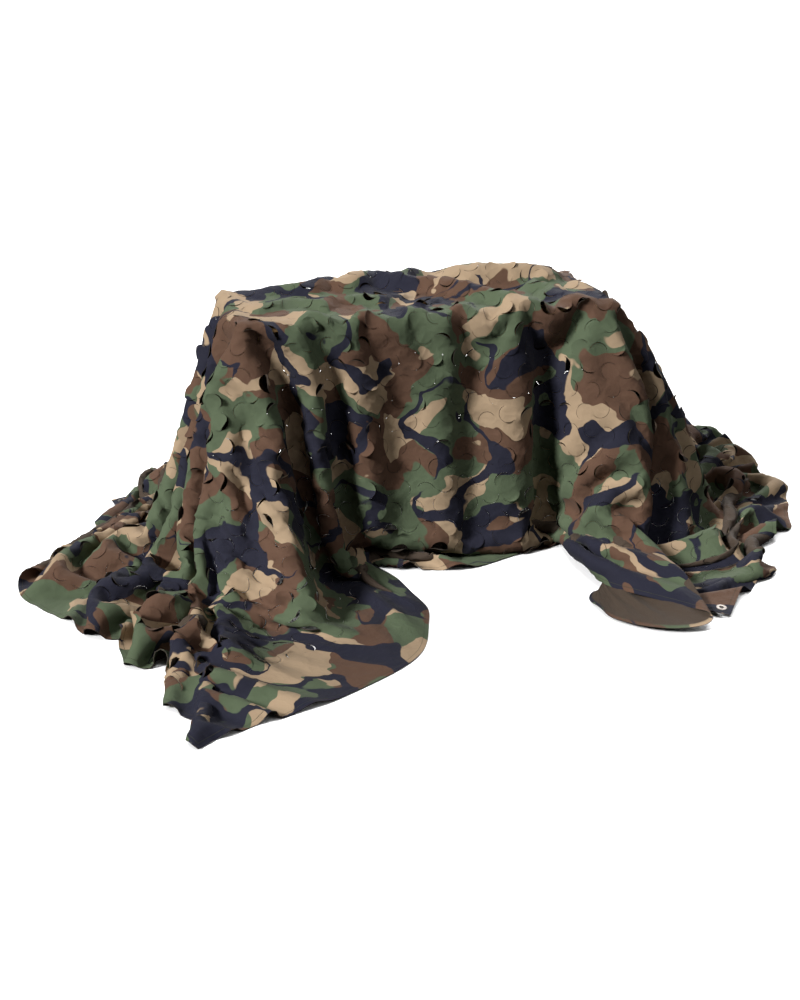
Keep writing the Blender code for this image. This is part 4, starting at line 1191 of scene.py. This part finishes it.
metal, wood = metal_finish(), wood_finish()
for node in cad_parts:
    finish = metal if node.startswith("eyelet") else wood if node.startswith("table") else cloth_finishes[0]
    for slot in bpy.data.objects[node].material_slots:
        slot.material = finish


# ---- studio
def add_stage(name, form, glow):
    """A pale piece of the studio that the camera sees and that throws no light back on the cloth."""
    mesh = bpy.data.meshes.new(name)
    form.to_mesh(mesh)
    form.free()
    mesh.materials.append(Nodes(name + "_white").surface(
        Base_Color=STAGE_WHITE,
        Roughness=STAGE_ROUGH,
        Specular_IOR_Level=0.0,
        Emission_Color=(1.0, 1.0, 1.0, 1.0),
        Emission_Strength=glow))
    piece = bpy.data.objects.new(name, mesh)
    bpy.context.scene.collection.objects.link(piece)
    piece.visible_diffuse = False
    piece.visible_glossy = False
    return piece


form = bmesh.new()
bmesh.ops.create_grid(form, x_segments=1, y_segments=1, size=FLOOR_SIDE / 2)
floor = add_stage("floor", form, 0.0)
form = bmesh.new()
around, upwards = BACKDROP_SEGMENTS
bmesh.ops.create_uvsphere(form, u_segments=around, v_segments=upwards, radius=BACKDROP_RADIUS)
backdrop = add_stage("backdrop", form, 1.0)
backdrop.visible_shadow = False

bpy.context.scene.view_settings.view_transform = "Standard"
world = bpy.data.worlds.new("studio")
bpy.context.scene.world = world
world.use_nodes = True
world.node_tree.nodes["Background"].inputs["Color"].default_value = (1.0, 1.0, 1.0, 1.0)
world.node_tree.nodes["Background"].inputs["Strength"].default_value = WORLD_STRENGTH

floor_alone = bpy.data.collections.new("floor_alone")
floor_alone.objects.link(floor)
for name, azimuth, elevation, strength, softness, for_floor in SUNS:
    sun = bpy.data.lights.new(name, "SUN")
    sun.energy = strength
    sun.angle = math.radians(softness)
    holder = bpy.data.objects.new(name, sun)
    bpy.context.scene.collection.objects.link(holder)
    holder.rotation_euler = (math.radians(90 - elevation), 0.0, math.radians(azimuth))
    if for_floor:
        holder.light_linking.receiver_collection = floor_alone

camera_data = bpy.data.cameras.new("camera")
camera_data.lens = CAMERA_LENS
camera_data.sensor_width = SENSOR_WIDTH
camera = bpy.data.objects.new("camera", camera_data)
bpy.context.scene.collection.objects.link(camera)
turn, tilt = math.radians(CAMERA_TURN), math.radians(CAMERA_TILT)
back = Vector((math.sin(turn) * math.cos(tilt), -math.cos(turn) * math.cos(tilt), math.sin(tilt)))
right = Vector((math.cos(turn), math.sin(turn), 0.0))
pose = Matrix((right, back.cross(right), back)).transposed().to_4x4()
pose.translation = Vector(CAMERA_PLACE) + Vector(TABLE_MIDDLE)
camera.matrix_world = pose
bpy.context.scene.camera = camera
